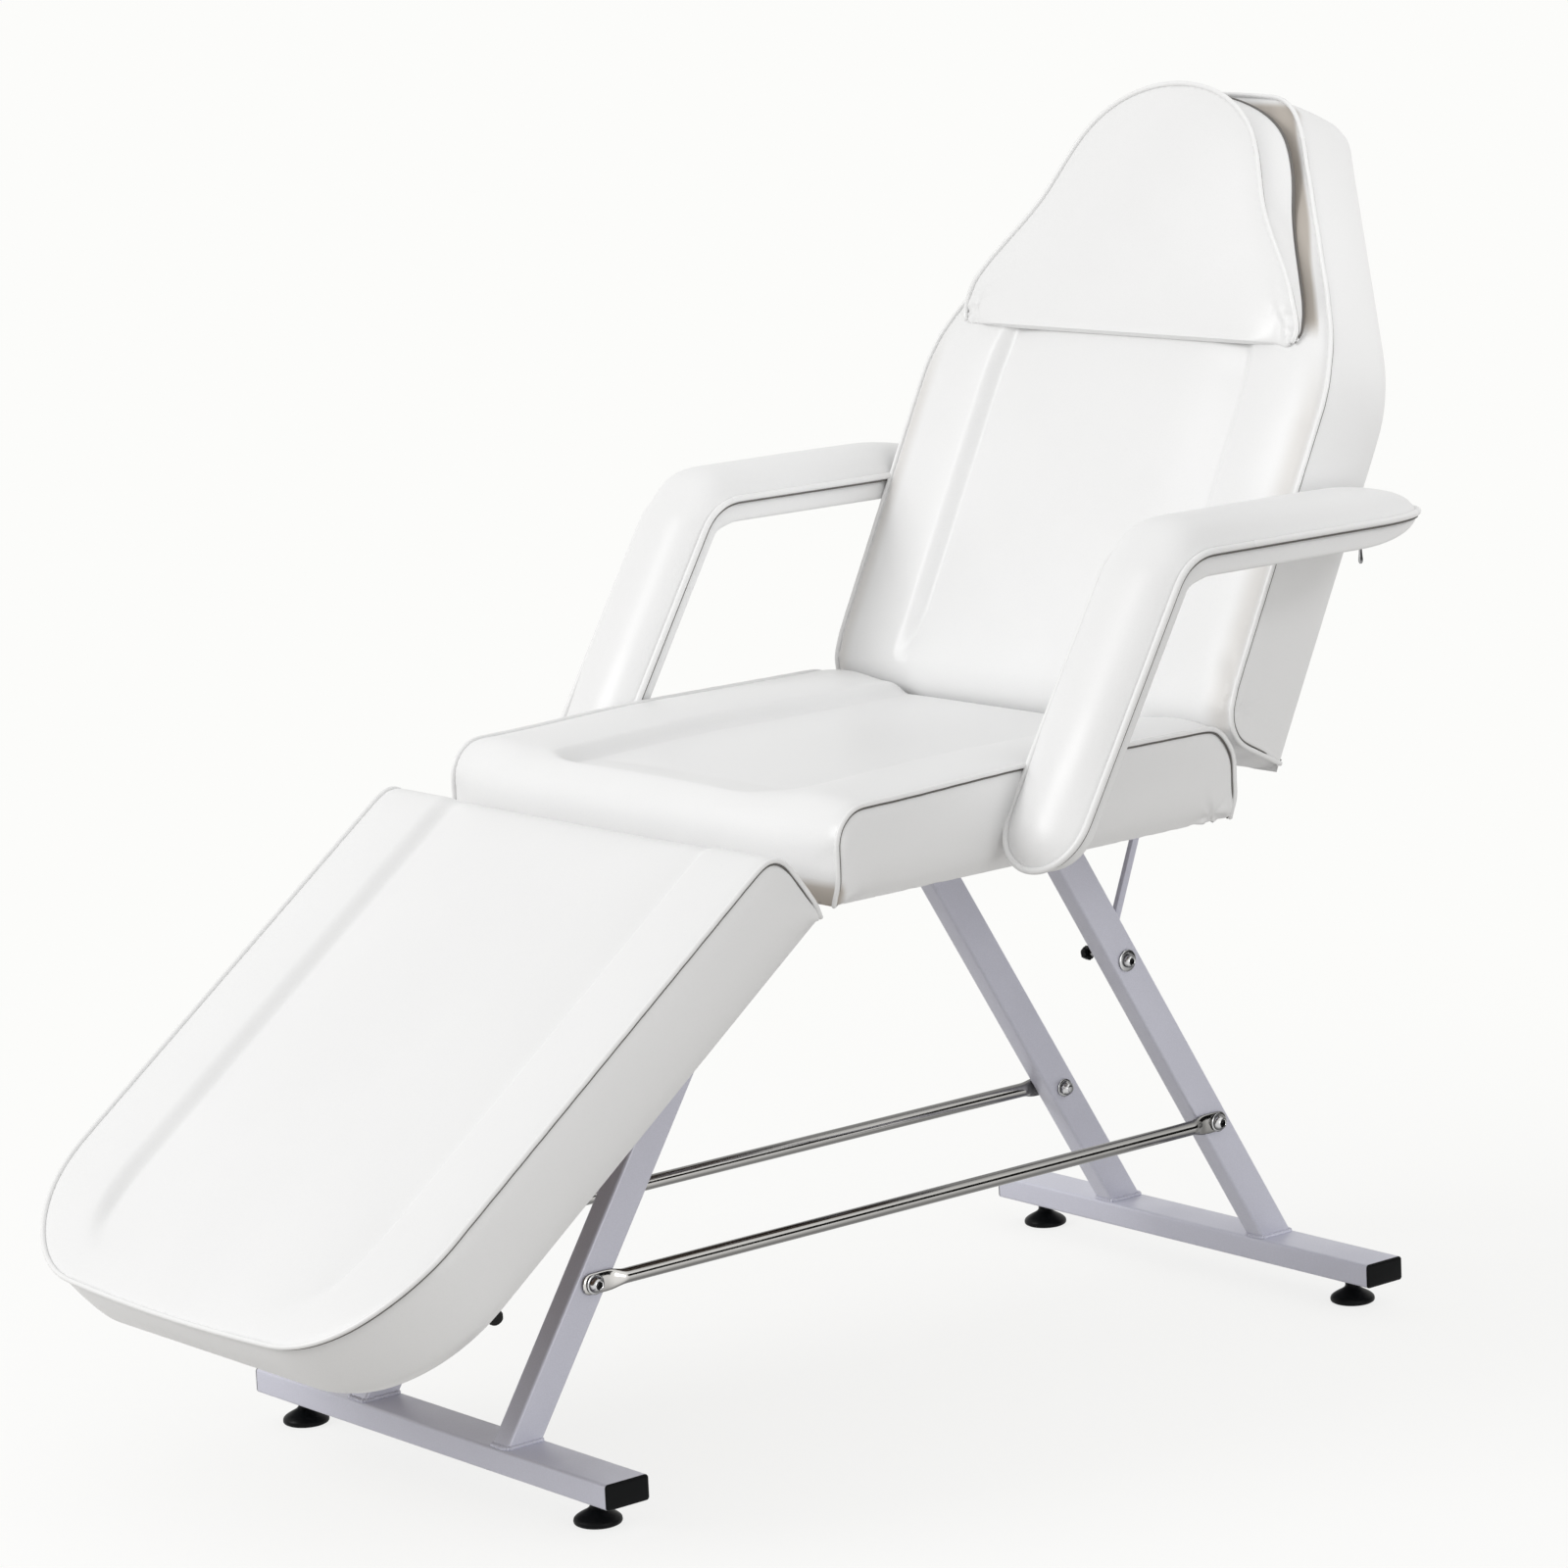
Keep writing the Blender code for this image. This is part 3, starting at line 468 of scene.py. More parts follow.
@dataclass(frozen=True)
class PaintedSteel(Finish):
    """Silver powder coat with metal flake, orange peel and slight soiling."""

    def build(self, effects: Effects) -> Material:
        """Makes the material.

        Args:
            effects: The shared shader effects.

        Returns:
            The material.
        """
        material, made, shader, where = self.start()
        speck = made.effect(effects.speckle, Vector=where, Scale=1300.0)
        cloud = made.effect(effects.clouding, Vector=where, Scale=9.0, Low=0.34, High=0.46)
        tint = made.stain(self.tone(0.94), speck["Flake"], 0.5, self.tone(1.06))
        tint = made.stain(tint, cloud["Mask"], 0.25, self.tone(0.93))
        made.set(shader, Base_Color=tint, Roughness=cloud["Value"], Metallic=0.15,
                 Normal=made.bump(speck["Height"], 0.10, 0.0006))
        return material


@dataclass(frozen=True)
class Plated(Finish):
    """Bright plated metal with faint polishing marks, and a painted dark reflection where it turns away from
    the view.
    """

    low: float = 0.08
    high: float = 0.16
    bump: float = 0.02
    # Colour factor of the painted dark reflection where the metal turns away.
    rim: float = 0.22

    def build(self, effects: Effects) -> Material:
        """Makes the material.

        Args:
            effects: The shared shader effects.

        Returns:
            The material.
        """
        material, made, shader, where = self.start()
        speck = made.effect(effects.speckle, Vector=where, Scale=1700.0)
        cloud = made.effect(effects.clouding, Vector=where, Scale=22.0, Low=self.low, High=self.high)
        tint = made.mix(cloud["Mask"], self.tone(0.92), self.tone(1.0))
        # Painted reflection: the colour is darkened where the surface turns away from the view, as if dark
        # surroundings were mirrored there.
        painted_reflection_share = made.add("ShaderNodeLayerWeight", Blend=0.5).outputs["Facing"]
        tint = made.mix(made.ramp(painted_reflection_share, 0.08, 0.45), tint, self.tone(self.rim))
        made.set(shader, Base_Color=tint, Roughness=cloud["Value"], Metallic=1.0,
                 Normal=made.bump(speck["Height"], self.bump, 0.0003))
        return material


@dataclass(frozen=True)
class Moulded(Finish):
    """Moulded plastic or rubber with a spark-eroded texture."""

    low: float = 0.32
    high: float = 0.46
    texture: float = 0.12

    def build(self, effects: Effects) -> Material:
        """Makes the material.

        Args:
            effects: The shared shader effects.

        Returns:
            The material.
        """
        material, made, shader, where = self.start()
        speck = made.effect(effects.speckle, Vector=where, Scale=2100.0)
        cloud = made.effect(effects.clouding, Vector=where, Scale=14.0, Low=self.low, High=self.high)
        dusty = made.stain(self.tone(1.0), cloud["Mask"], 0.35, self.tone(1.7))
        made.set(shader, Base_Color=dusty, Roughness=cloud["Value"], Specular_IOR_Level=0.10,
                 Normal=made.bump(speck["Height"], self.texture, 0.0005))
        return material


@dataclass(frozen=True)
class Veneer(Finish):
    """Rotary-cut plywood face with long figure and pores."""

    def build(self, effects: Effects) -> Material:
        """Makes the material.

        Args:
            effects: The shared shader effects.

        Returns:
            The material.
        """
        material, made, shader, where = self.start()
        long_way = made.add("ShaderNodeMapping", Vector=where, Scale=(44.0, 2.4, 2.4)).outputs["Vector"]
        figure = made.add("ShaderNodeTexNoise", Vector=long_way, Scale=1.0, Detail=5.0, Roughness=0.6,
                          Distortion=0.6)
        pores = made.add("ShaderNodeTexNoise", Vector=long_way, Scale=9.0, Detail=2.0, Roughness=0.5)
        cloud = made.effect(effects.clouding, Vector=where, Scale=7.0, Low=0.58, High=0.74)
        band = made.ramp(figure.outputs["Fac"], 0.35, 0.65)
        open_pore = made.ramp(pores.outputs["Fac"], 0.34, 0.48, (1.0, 0.0))
        tint = made.stain(made.mix(band, self.tone(0.78), self.tone(1.08)), open_pore, 0.5, self.tone(0.55))
        made.set(shader, Base_Color=tint, Roughness=cloud["Value"], Normal=made.bump(band, 0.15, 0.0008))
        return material


@dataclass(frozen=True)
class FinishSet:
    """All the bed's materials, built."""

    leather: Material
    welt: Material
    seam: Material
    steel: Material
    chrome: Material
    zinc: Material
    black: Material
    rubber: Material
    plywood: Material
    zip: Material

    @classmethod
    def make(cls) -> FinishSet:
        """Builds every finish of the bed.

        Returns:
            The finishes.
        """
        table = {
            "leather": Leatherette("white_leatherette_cover", (0.862, 0.864, 0.864)),
            "welt": Leatherette("white_piping", (0.88, 0.882, 0.88), roughness=0.30, grain=0.05, pucker=0.0),
            # Dark cords laid as painted shadow lines: beside the piping, along the pillow's rear edge and in
            # the arm pockets' slits.
            "seam": Leatherette("shaded_seam", (0.15, 0.142, 0.134), roughness=0.6, pucker=0.0),
            "steel": PaintedSteel("silver_powder_coat", (0.68, 0.685, 0.78)),
            "chrome": Plated("bright_chrome", (0.78, 0.765, 0.745)),
            "zinc": Plated("zinc_plate", (0.70, 0.70, 0.71), low=0.14, high=0.26, bump=0.05),
            "black": Moulded("black_moulding", (0.0030, 0.0034, 0.0038)),
            "rubber": Moulded("black_rubber_stop", (0.016, 0.016, 0.016), low=0.6, high=0.8, texture=0.3),
            "plywood": Veneer("dark_faced_plywood", (0.20, 0.135, 0.085)),
            "zip": Plated("zip_metal_grey", (0.46, 0.46, 0.47), low=0.25, high=0.4, bump=0.05, rim=0.6),
        }
        effects = Effects()
        return cls(**{label: finish.build(effects) for label, finish in table.items()})


# Mesh helpers


def smooth_by_angle(obj: Piece, degrees: float = 38.0) -> None:
    """Shades a mesh smooth and keeps edges sharper than an angle crisp.

    Args:
        obj: The piece.
        degrees: The sharpest edge that is still shaded smooth.
    """
    mesh = obj.data
    for polygon in mesh.polygons:
        polygon.use_smooth = True
    bm = bmesh.new()
    bm.from_mesh(mesh)
    for edge in bm.edges:
        edge.smooth = len(edge.link_faces) != 2 or edge.calc_face_angle(0.0) < math.radians(degrees)
    bm.to_mesh(mesh)
    bm.free()


def new_object(name: str, data: bpy.types.ID, material: Material | None = None) -> Piece:
    """Links a mesh, lamp or camera into the scene under a name, with its material if it has one.

    Args:
        name: The object's name.
        data: Its mesh, lamp or camera.
        material: Its finish, if it has one.

    Returns:
        The new object.
    """
    obj = bpy.data.objects.new(name, data)
    bpy.context.scene.collection.objects.link(obj)
    if material:
        data.materials.clear()
        data.materials.append(material)
    return obj


def mesh_of(name: str, points: Array, faces: Iterable[Sequence[int]], weld: float = 1e-5) -> bpy.types.Mesh:
    """A closed mesh from points and faces, welded and facing outwards.

    Args:
        name: The mesh's name.
        points: One row of x, y, z for each point.
        faces: Point numbers round each face.
        weld: Points nearer than this are merged.

    Returns:
        The mesh.
    """
    mesh = bpy.data.meshes.new(name)
    rows = np.asarray(points, float).reshape(-1, 3).tolist()
    mesh.from_pydata(rows, [], [list(map(int, face)) for face in faces])
    bm = bmesh.new()
    bm.from_mesh(mesh)
    bmesh.ops.remove_doubles(bm, verts=bm.verts, dist=weld)
    bmesh.ops.dissolve_degenerate(bm, edges=bm.edges, dist=1e-7)
    bmesh.ops.recalc_face_normals(bm, faces=bm.faces)
    if bm.calc_volume(signed=True) < 0:
        bmesh.ops.reverse_faces(bm, faces=bm.faces)
    bm.to_mesh(mesh)
    bm.free()
    return mesh


def grid_faces(rows: int, cols: int, start: int = 0, wrap: bool = False) -> list[tuple[int, ...]]:
    """The quads of a grid of points, with its columns closed on themselves or not.

    Args:
        rows: Rows of points.
        cols: Points in a row.
        start: The first point's number.
        wrap: True where the last column joins the first.

    Returns:
        Four point numbers for each face.
    """
    faces = []
    for row in range(rows - 1):
        for col in range(cols if wrap else cols - 1):
            after = (col + 1) % cols
            here = start + row * cols
            faces.append((here + col, here + after, here + cols + after, here + cols + col))
    return faces


def loft(name: str, rings: Array, material: Material, ring_closed: bool = False, twist: int = 0,
         crisp: float = 38.0) -> Piece:
    """Skins rings of points.

    Args:
        name: The piece's name.
        rings: Array of rings, each an equal run of x, y, z points.
        material: The piece's finish.
        ring_closed: True where the last ring joins the first, as in a hollow tube.
        twist: How many points the last ring is turned by where it joins the first.
        crisp: Edges that turn by more degrees than this stay sharp.

    Returns:
        The piece, shaded smooth with crisp edges.
    """
    rings = np.asarray(rings, float)
    count, size = rings.shape[:2]
    faces = grid_faces(count, size, wrap=True)
    last = (count - 1) * size
    if ring_closed:
        shift = [last + (k - twist) % size for k in range(size)]
        faces += [(shift[k], shift[(k + 1) % size], (k + 1) % size, k) for k in range(size)]
    else:
        faces += [tuple(range(size))[::-1], tuple(range(last, count * size))]
    obj = new_object(name, mesh_of(name, rings, faces), material)
    smooth_by_angle(obj, crisp)
    return obj


def resample(path: Array, spacing: float, closed: bool = False) -> Array:
    """A path's points respaced evenly along it.

    Args:
        path: The path's points.
        spacing: Distance from one point to the next.
        closed: True where the path joins itself.

    Returns:
        The new points.
    """
    if closed:
        path = np.vstack((path, path[:1]))
    steps = np.linalg.norm(np.diff(path, axis=0), axis=1)
    along = np.concatenate(([0.0], np.cumsum(steps)))
    keep = np.concatenate(([True], steps > 1e-7))
    count = max(3, int(round(along[-1] / spacing)) + 1)
    at = np.linspace(0.0, along[-1], count)
    made = np.stack([np.interp(at, along[keep], path[keep, k]) for k in range(3)], axis=1)
    return made[:-1] if closed else made


def relax(path: Array, rounds: int, closed: bool = False) -> Array:
    """A path with its kinks eased, ends kept unless it is closed.

    Args:
        path: The path's points.
        rounds: How often it is eased.
        closed: True where the path joins itself.

    Returns:
        The eased points.
    """
    path = path.copy()
    for _ in range(rounds):
        if closed:
            path = 0.5 * path + 0.25 * (np.roll(path, 1, axis=0) + np.roll(path, -1, axis=0))
        else:
            path[1:-1] = 0.5 * path[1:-1] + 0.25 * (path[:-2] + path[2:])
    return path


def tube(name: str, path: Array, radius: float, material: Material, sides: int = 12,
         closed: bool = False) -> Piece:
    """A round cord swept along a path without twisting.

    Args:
        name: The piece's name.
        path: The centre line's points.
        radius: The cord's radius.
        material: The piece's finish.
        sides: Points round the cord.
        closed: True where the cord joins itself.

    Returns:
        The piece, with its ends drawn to a round point where it is open.
    """
    count = len(path)
    around = np.roll(path, -1, axis=0) - np.roll(path, 1, axis=0)
    ahead = unit(around if closed else np.gradient(path, axis=0))
    across = np.zeros_like(path)
    guess = np.array((0.0, 0.0, 1.0) if abs(ahead[0][2]) < 0.9 else (1.0, 0.0, 0.0))
    for k in range(count):
        guess = guess - ahead[k] * float(guess @ ahead[k])
        guess = guess / np.linalg.norm(guess)
        across[k] = guess
    over = np.cross(ahead, across)
    size = np.full(count, radius)
    if not closed:
        tip = 0.6 * radius
        path = np.vstack((path[0] - ahead[0] * tip, path, path[-1] + ahead[-1] * tip))
        size = np.concatenate(([0.5 * radius], size, [0.5 * radius]))
        across, over = (np.vstack((ways[:1], ways, ways[-1:])) for ways in (across, over))
    turns = np.linspace(0, 2 * np.pi, sides, endpoint=False)[None, :, None]
    ways = np.cos(turns) * across[:, None] + np.sin(turns) * over[:, None]
    rings = path[:, None] + size[:, None, None] * ways
    twist = 0
    if closed:
        twist = min(range(sides), key=lambda k: np.linalg.norm(np.roll(rings[-1], k, axis=0) - rings[0]))
    return loft(name, rings, material, closed, twist, CORD_CRISP)


def rounded(half_a: float, half_b: float, radius: float, steps: int = 6) -> Array:
    """Points of a rounded rectangle about the origin.

    Args:
        half_a: Half the first side.
        half_b: Half the second side.
        radius: The corners' radius.
        steps: Steps in each corner.

    Returns:
        The outline's points.
    """
    points = []
    for corner in range(4):
        sign_a = 1 if corner in (0, 3) else -1
        sign_b = 1 if corner in (0, 1) else -1
        for step in range(steps + 1):
            angle = math.pi / 2 * (corner + step / steps)
            points.append((sign_a * (half_a - radius) + radius * math.cos(angle),
                           sign_b * (half_b - radius) + radius * math.sin(angle)))
    return np.array(points)


def turned(name: str, stations: Sequence[tuple], material: Material, place: Placing, count: int = 48,
           hollow: bool = False) -> Piece:
    """A lathe-turned piece, with hexagonal stations where they are marked HEX.

    Args:
        name: The piece's name.
        stations: Height along the axis and radius, and HEX where the section is a hexagon.
        material: The piece's finish.
        place: Takes points on a Z axis to the bed's frame.
        count: Points round the piece, a multiple of six.
        hollow: True where the last station joins the first.

    Returns:
        The piece.
    """
    turns = np.linspace(0, 2 * np.pi, count, endpoint=False)
    flat = math.cos(math.pi / 6) / np.cos((turns + math.pi / 6) % (math.pi / 3) - math.pi / 6)
    rings = []
    for height, radius, *six in stations:
        reach = radius * (flat if six else np.ones(count))
        rings.append(np.stack((reach * np.cos(turns), reach * np.sin(turns), np.full(count, height)), axis=1))
    return loft(name, place(np.array(rings)), material, hollow)


def shifted(stations: Sequence[tuple], start: float) -> list[tuple]:
    """A turned piece's stations moved along its axis."""
    return [(start + height, *rest) for height, *rest in stations]


def small_bar(name: str, half: Point, chamfer: tuple[float, float], corner: float,
              material: Material) -> Piece:
    """A small bar along X with chamfered ends.

    Args:
        name: The piece's name.
        half: Half its length, depth and height.
        chamfer: How far its ends are cut back along the bar and across it.
        corner: Radius of its long edges.
        material: The piece's finish.

    Returns:
        The piece.
    """
    back, inset = chamfer
    ends = ((-half[0], inset), (back - half[0], 0.0), (half[0] - back, 0.0), (half[0], inset))
    rings = [[(x, a, b) for a, b in rounded(half[1] - cut, half[2] - cut, corner, steps=1)]
             for x, cut in ends]
    return loft(name, rings, material)


def to_x_axis(centre: tuple[float, float], sign: int) -> Placing:
    """A placing that lays a turned piece on an X axis through a (y, z) centre.

    Args:
        centre: The axis in y and z.
        sign: The way that it points along X.

    Returns:
        The placing.
    """

    def place(points: Array) -> Array:
        a, b, along = np.moveaxis(points, -1, 0)
        return np.stack((sign * along, centre[0] + a, centre[1] + b), axis=-1)

    return place


def to_z_axis(x: float, y: float) -> Placing:
    """A placing that stands a turned piece at a point of the plan.

    Args:
        x: Its place across the bed.
        y: Its place along the bed.

    Returns:
        The placing.
    """

    def place(points: Array) -> Array:
        return points + np.array((x, y, 0.0))

    return place


def softened(node: Piece, name: str, width: float, material: Material) -> Piece:
    """A copy of a hard solid with its edges eased.

    Args:
        node: The solid's object.
        name: The new piece's name.
        width: How wide the eased edges are.
        material: The piece's finish.

    Returns:
        The copy as a plain mesh.
    """
    bm = bmesh.new()
    bm.from_mesh(node.data)
    bmesh.ops.remove_doubles(bm, verts=bm.verts, dist=1e-6)
    mesh = bpy.data.meshes.new(name)
    bm.to_mesh(mesh)
    bm.free()
    obj = new_object(name, mesh, material)
    ease = obj.modifiers.new("eased_edges", "BEVEL")
    ease.width, ease.segments = width, 2
    ease.limit_method, ease.angle_limit = "ANGLE", math.radians(40)
    settle(obj)
    smooth_by_angle(obj)
    return obj


def settle(obj: Piece) -> None:
    """Turns an object's modifiers into its plain mesh.

    Args:
        obj: The object.
    """
    graph = bpy.context.evaluated_depsgraph_get()
    mesh = bpy.data.meshes.new_from_object(obj.evaluated_get(graph))
    old = obj.data
    obj.modifiers.clear()
    obj.data = mesh
    mesh.name = obj.name
    bpy.data.meshes.remove(old)


def keep(obj: Piece, slot: Slot, *nodes: str, body: str = Body.BASE.value) -> Piece:
    """Sets a finished piece on its body.

    Args:
        obj: The piece.
        slot: The record's material slot that it wears; not used.
        nodes: The frame's nodes that it takes the place of.
        body: The body that it rides on.

    Returns:
        The piece.
    """
    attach(obj, body)
    if nodes:
        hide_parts(*nodes)
    LOG.info("%s: %d faces on %s", obj.name, len(obj.data.polygons), body)
    return obj


def tree_of(points: Array) -> KDTree:
    """A search tree over rows of points.

    Args:
        points: One row of x, y, z for each point.

    Returns:
        The balanced tree.
    """
    tree = KDTree(len(points))
    for number, point in enumerate(points):
        tree.insert(point, number)
    tree.balance()
    return tree


def distance_to(edge: Array, points: Array) -> Array:
    """How far each point of a grid is from the nearest point of an edge."""
    tree = tree_of(edge)
    return np.array([tree.find(point)[2] for point in points.reshape(-1, 3)]).reshape(points.shape[:-1])


# Rows of small repeated pieces


class PathRow:
    """A Geometry Nodes tree that sets copies of one small piece at a spacing along a path."""

    def __init__(self) -> None:
        """Builds the tree with its named inputs."""
        tree = bpy.data.node_groups.new("pieces_along_a_path", "GeometryNodeTree")
        self.tree = tree
        self.ids: dict[str, str] = {}
        for label, kind in (("Geometry", "Geometry"), ("Piece", "Object"), ("Spacing", "Float"),
                            ("Unevenness", "Float"), ("Up", "Vector"), ("Finish", "Material")):
            socket = tree.interface.new_socket(name=label, in_out="INPUT", socket_type="NodeSocket" + kind)
            self.ids[label] = socket.identifier
        tree.interface.new_socket(name="Geometry", in_out="OUTPUT", socket_type="NodeSocketGeometry")
        made = NodeTree(tree)
        start = made.add("NodeGroupInput").outputs
        curve = made.add("GeometryNodeMeshToCurve", Mesh=start["Geometry"])
        spots = made.add("GeometryNodeCurveToPoints", {"mode": "LENGTH"}, Curve=curve.outputs[0],
                         Length=start["Spacing"])
        along = made.add("FunctionNodeAlignRotationToVector", {"axis": "X"}, Vector=spots.outputs["Tangent"])
        upright = made.add("FunctionNodeAlignRotationToVector", {"axis": "Z", "pivot_axis": "X"},
                           Rotation=along.outputs[0], Vector=start["Up"])
        uneven = made.add("FunctionNodeRandomValue", {"data_type": "FLOAT"}, Seed=7)
        made.feed(uneven.inputs[2], made.math("SUBTRACT", 1.0, start["Unevenness"]))
        made.feed(uneven.inputs[3], made.math("ADD", 1.0, start["Unevenness"]))
        piece = made.add("GeometryNodeObjectInfo", Object=start["Piece"])
        copies = made.add("GeometryNodeInstanceOnPoints", Points=spots.outputs["Points"],
                          Instance=piece.outputs["Geometry"], Rotation=upright.outputs[0],
                          Scale=uneven.outputs[1])
        real = made.add("GeometryNodeRealizeInstances", Geometry=copies.outputs[0])
        coat = made.add("GeometryNodeSetMaterial", Geometry=real.outputs[0], Material=start["Finish"])
        made.add("NodeGroupOutput", Geometry=coat.outputs[0])

    def lay(self, name: str, paths: Sequence[Array], piece: Piece, spacing: float, up: Point,
            unevenness: float = 0.0) -> Piece:
        """Lays a row, turns it into a plain mesh and takes the single piece away.

        Args:
            name: The row's name.
            paths: Runs of points, each one row.
            piece: The small piece, whose finish the copies wear.
            spacing: Distance from one copy to the next.
            up: The way the copies' own Z points.
            unevenness: How much their sizes differ.

        Returns:
            The row as one object.
        """
        edges, start = [], 0
        for path in paths:
            edges += [(start + k, start + k + 1) for k in range(len(path) - 1)]
            start += len(path)
        mesh = bpy.data.meshes.new(name)
        mesh.from_pydata(np.vstack(paths).tolist(), edges, [])
        obj = new_object(name, mesh)
        modifier = obj.modifiers.new("row", "NODES")
        modifier.node_group = self.tree
        for label, value in (("Piece", piece), ("Spacing", spacing), ("Unevenness", unevenness), ("Up", up),
                             ("Finish", piece.data.materials[0])):
            modifier[self.ids[label]] = value
        settle(obj)
        smooth_by_angle(obj)
        bpy.data.objects.remove(piece)
        return obj


# Upholstery


class Skin:
    """A cover gathered from grids of points and welded where they meet."""

    def __init__(self) -> None:
        """Starts with no grids."""
        self.points: list[Array] = []
        self.held: list[Array] = []
        self.faces: list[tuple[int, ...]] = []
        self.count = 0

    def add(self, grid: Array, held: Number, wrap: bool = False) -> None:
        """Adds a grid of points and how firmly each is held while the cover fills out.

        Args:
            grid: Rows of points.
            held: Each point's hold, or one for all.
            wrap: True where the last column joins the first.
        """
        rows, cols = grid.shape[:2]
        self.faces += grid_faces(rows, cols, self.count, wrap)
        self.points.append(grid.reshape(-1, 3))
        self.held.append(np.broadcast_to(np.asarray(held, float), (rows, cols)).reshape(-1))
        self.count += rows * cols

    def build(self, name: str, material: Material) -> Piece:
        """Welds the grids into one closed cover that carries its hold as a vertex group.

        Args:
            name: The cover's name.
            material: Its finish.

        Returns:
            The cover.
        """
        points, held = np.vstack(self.points), np.concatenate(self.held)
        obj = new_object(name, mesh_of(name, points, self.faces, weld=3e-5), material)
        tree = tree_of(points)
        group = obj.vertex_groups.new(name="held")
        for vertex in obj.data.vertices:
            weight = float(held[tree.find(vertex.co)[1]])
            if weight > 0:
                group.add([vertex.index], weight, "REPLACE")
        return obj


def held_edges(grid: Array) -> Array:
    """A grid's hold while its cover fills out: firm in its first and last columns, free between.

    Args:
        grid: Rows of points.

    Returns:
        Each point's hold.
    """
    held = np.zeros(grid.shape[:2])
    held[:, (0, -1)] = 1.0
    return held


def coordinates(mesh: bpy.types.Mesh, what: str = "co") -> Array:
    """A mesh's points as an array, or their normals.

    Args:
        mesh: The mesh.
        what: The name of what is read.

    Returns:
        One row of x, y, z for each point.
    """
    found = np.empty(len(mesh.vertices) * 3, np.float32)
    mesh.vertices.foreach_get(what, found)
    return found.reshape(-1, 3).astype(float)


def set_coordinates(mesh: bpy.types.Mesh, points: Array) -> None:
    """Moves a mesh's points."""
    mesh.vertices.foreach_set("co", np.asarray(points, np.float32).reshape(-1))
    mesh.update()


def fill_out(obj: Piece, pressure: float, most: float) -> None:
    """Fills a cover with its padding's pressure while its seams stay held.

    Args:
        obj: The cover, with its held vertex group.
        pressure: The padding's push.
        most: The furthest that any point may move.
    """
    before = coordinates(obj.data)
    cloth = obj.modifiers.new("padding", "CLOTH")
    for key, value in CLOTH.items():
        setattr(cloth.settings, key, value)
    cloth.settings.uniform_pressure_force = pressure
    cloth.settings.effector_weights.gravity = 0.0
    cloth.collision_settings.use_collision = False
    cloth.point_cache.frame_start = 1
    cloth.point_cache.frame_end = CLOTH_FRAMES
    scene = bpy.context.scene
    for number in range(1, CLOTH_FRAMES + 1):
        scene.frame_set(number)
    shown = obj.evaluated_get(bpy.context.evaluated_depsgraph_get())
    moved = coordinates(shown.to_mesh()) - before
    shown.to_mesh_clear()
    obj.modifiers.remove(cloth)
    scene.frame_set(1)
    size = np.linalg.norm(moved, axis=1, keepdims=True)
    capped = moved * (most * np.tanh(size / most) / np.maximum(size, 1e-9))
    LOG.info("  %s filled out by up to %.1f mm", obj.name, 1000 * float(np.linalg.norm(capped, axis=1).max()))
    set_coordinates(obj.data, before + capped)


def subdivide(obj: Piece) -> None:
    """Subdivides a cover once and shades it smooth.

    Args:
        obj: The cover.
    """
    finer = obj.modifiers.new("finer", "SUBSURF")
    finer.levels = finer.render_levels = 1
    settle(obj)
    for polygon in obj.data.polygons:
        polygon.use_smooth = True


@dataclass(frozen=True)
class Pinch:
    """A place where the cover is gathered into short folds that run to a point."""

    centre: Point
    radius: float
    depth: float
    folds: int


def gather_folds(obj: Piece, pinches: Sequence[Pinch]) -> None:
    """Presses fans of short folds into a cover.

    Args:
        obj: The cover.
        pinches: Its gathered places.
    """
    points, outward = coordinates(obj.data), coordinates(obj.data, "normal")
    for pinch in pinches:
        away = points - np.array(pinch.centre)
        reach = np.linalg.norm(away, axis=1)
        facing = unit(outward[reach < pinch.radius].mean(axis=0)[None])[0]
        first = unit(np.cross(facing, (0.31, 0.52, 0.79))[None])[0]
        second = np.cross(facing, first)
        angle = np.arctan2(away @ second, away @ first)
        wave = np.sin(pinch.folds * angle) + 0.5 * np.sin((pinch.folds * 2 - 1) * angle + 1.3)
        share = np.clip(reach / pinch.radius, 0.0, 1.0)
        points += outward * (pinch.depth * wave * (1 - share) ** 1.5 * np.clip(share * 5, 0.0, 1.0))[:, None]
    set_coordinates(obj.data, points)


def mark_seams(obj: Piece, seams: Array, pinches: Sequence[Pinch], sheltered: Array) -> None:
    """Stores what the leatherette's shader reads at each point of a cover.

    Args:
        obj: The cover.
        seams: Points of its seams.
        pinches: Its gathered places.
        sheltered: How much painted shade each point takes.
    """
    points = coordinates(obj.data)
    near = np.clip(1 - distance_to(seams, points) / SEAM_REACH, 0.0, 1.0)
    gather = np.full(len(points), 0.25)
    for pinch in pinches:
        reach = np.linalg.norm(points - np.array(pinch.centre), axis=1)
        gather = np.maximum(gather, 1 - fade(reach, pinch.radius * 0.4, pinch.radius * 1.6))
    for label, values in (("seam", near), ("gather", gather), ("shelter", sheltered)):
        kept = obj.data.attributes.new(label, "FLOAT", "POINT")
        kept.data.foreach_set("value", np.asarray(values, np.float32))


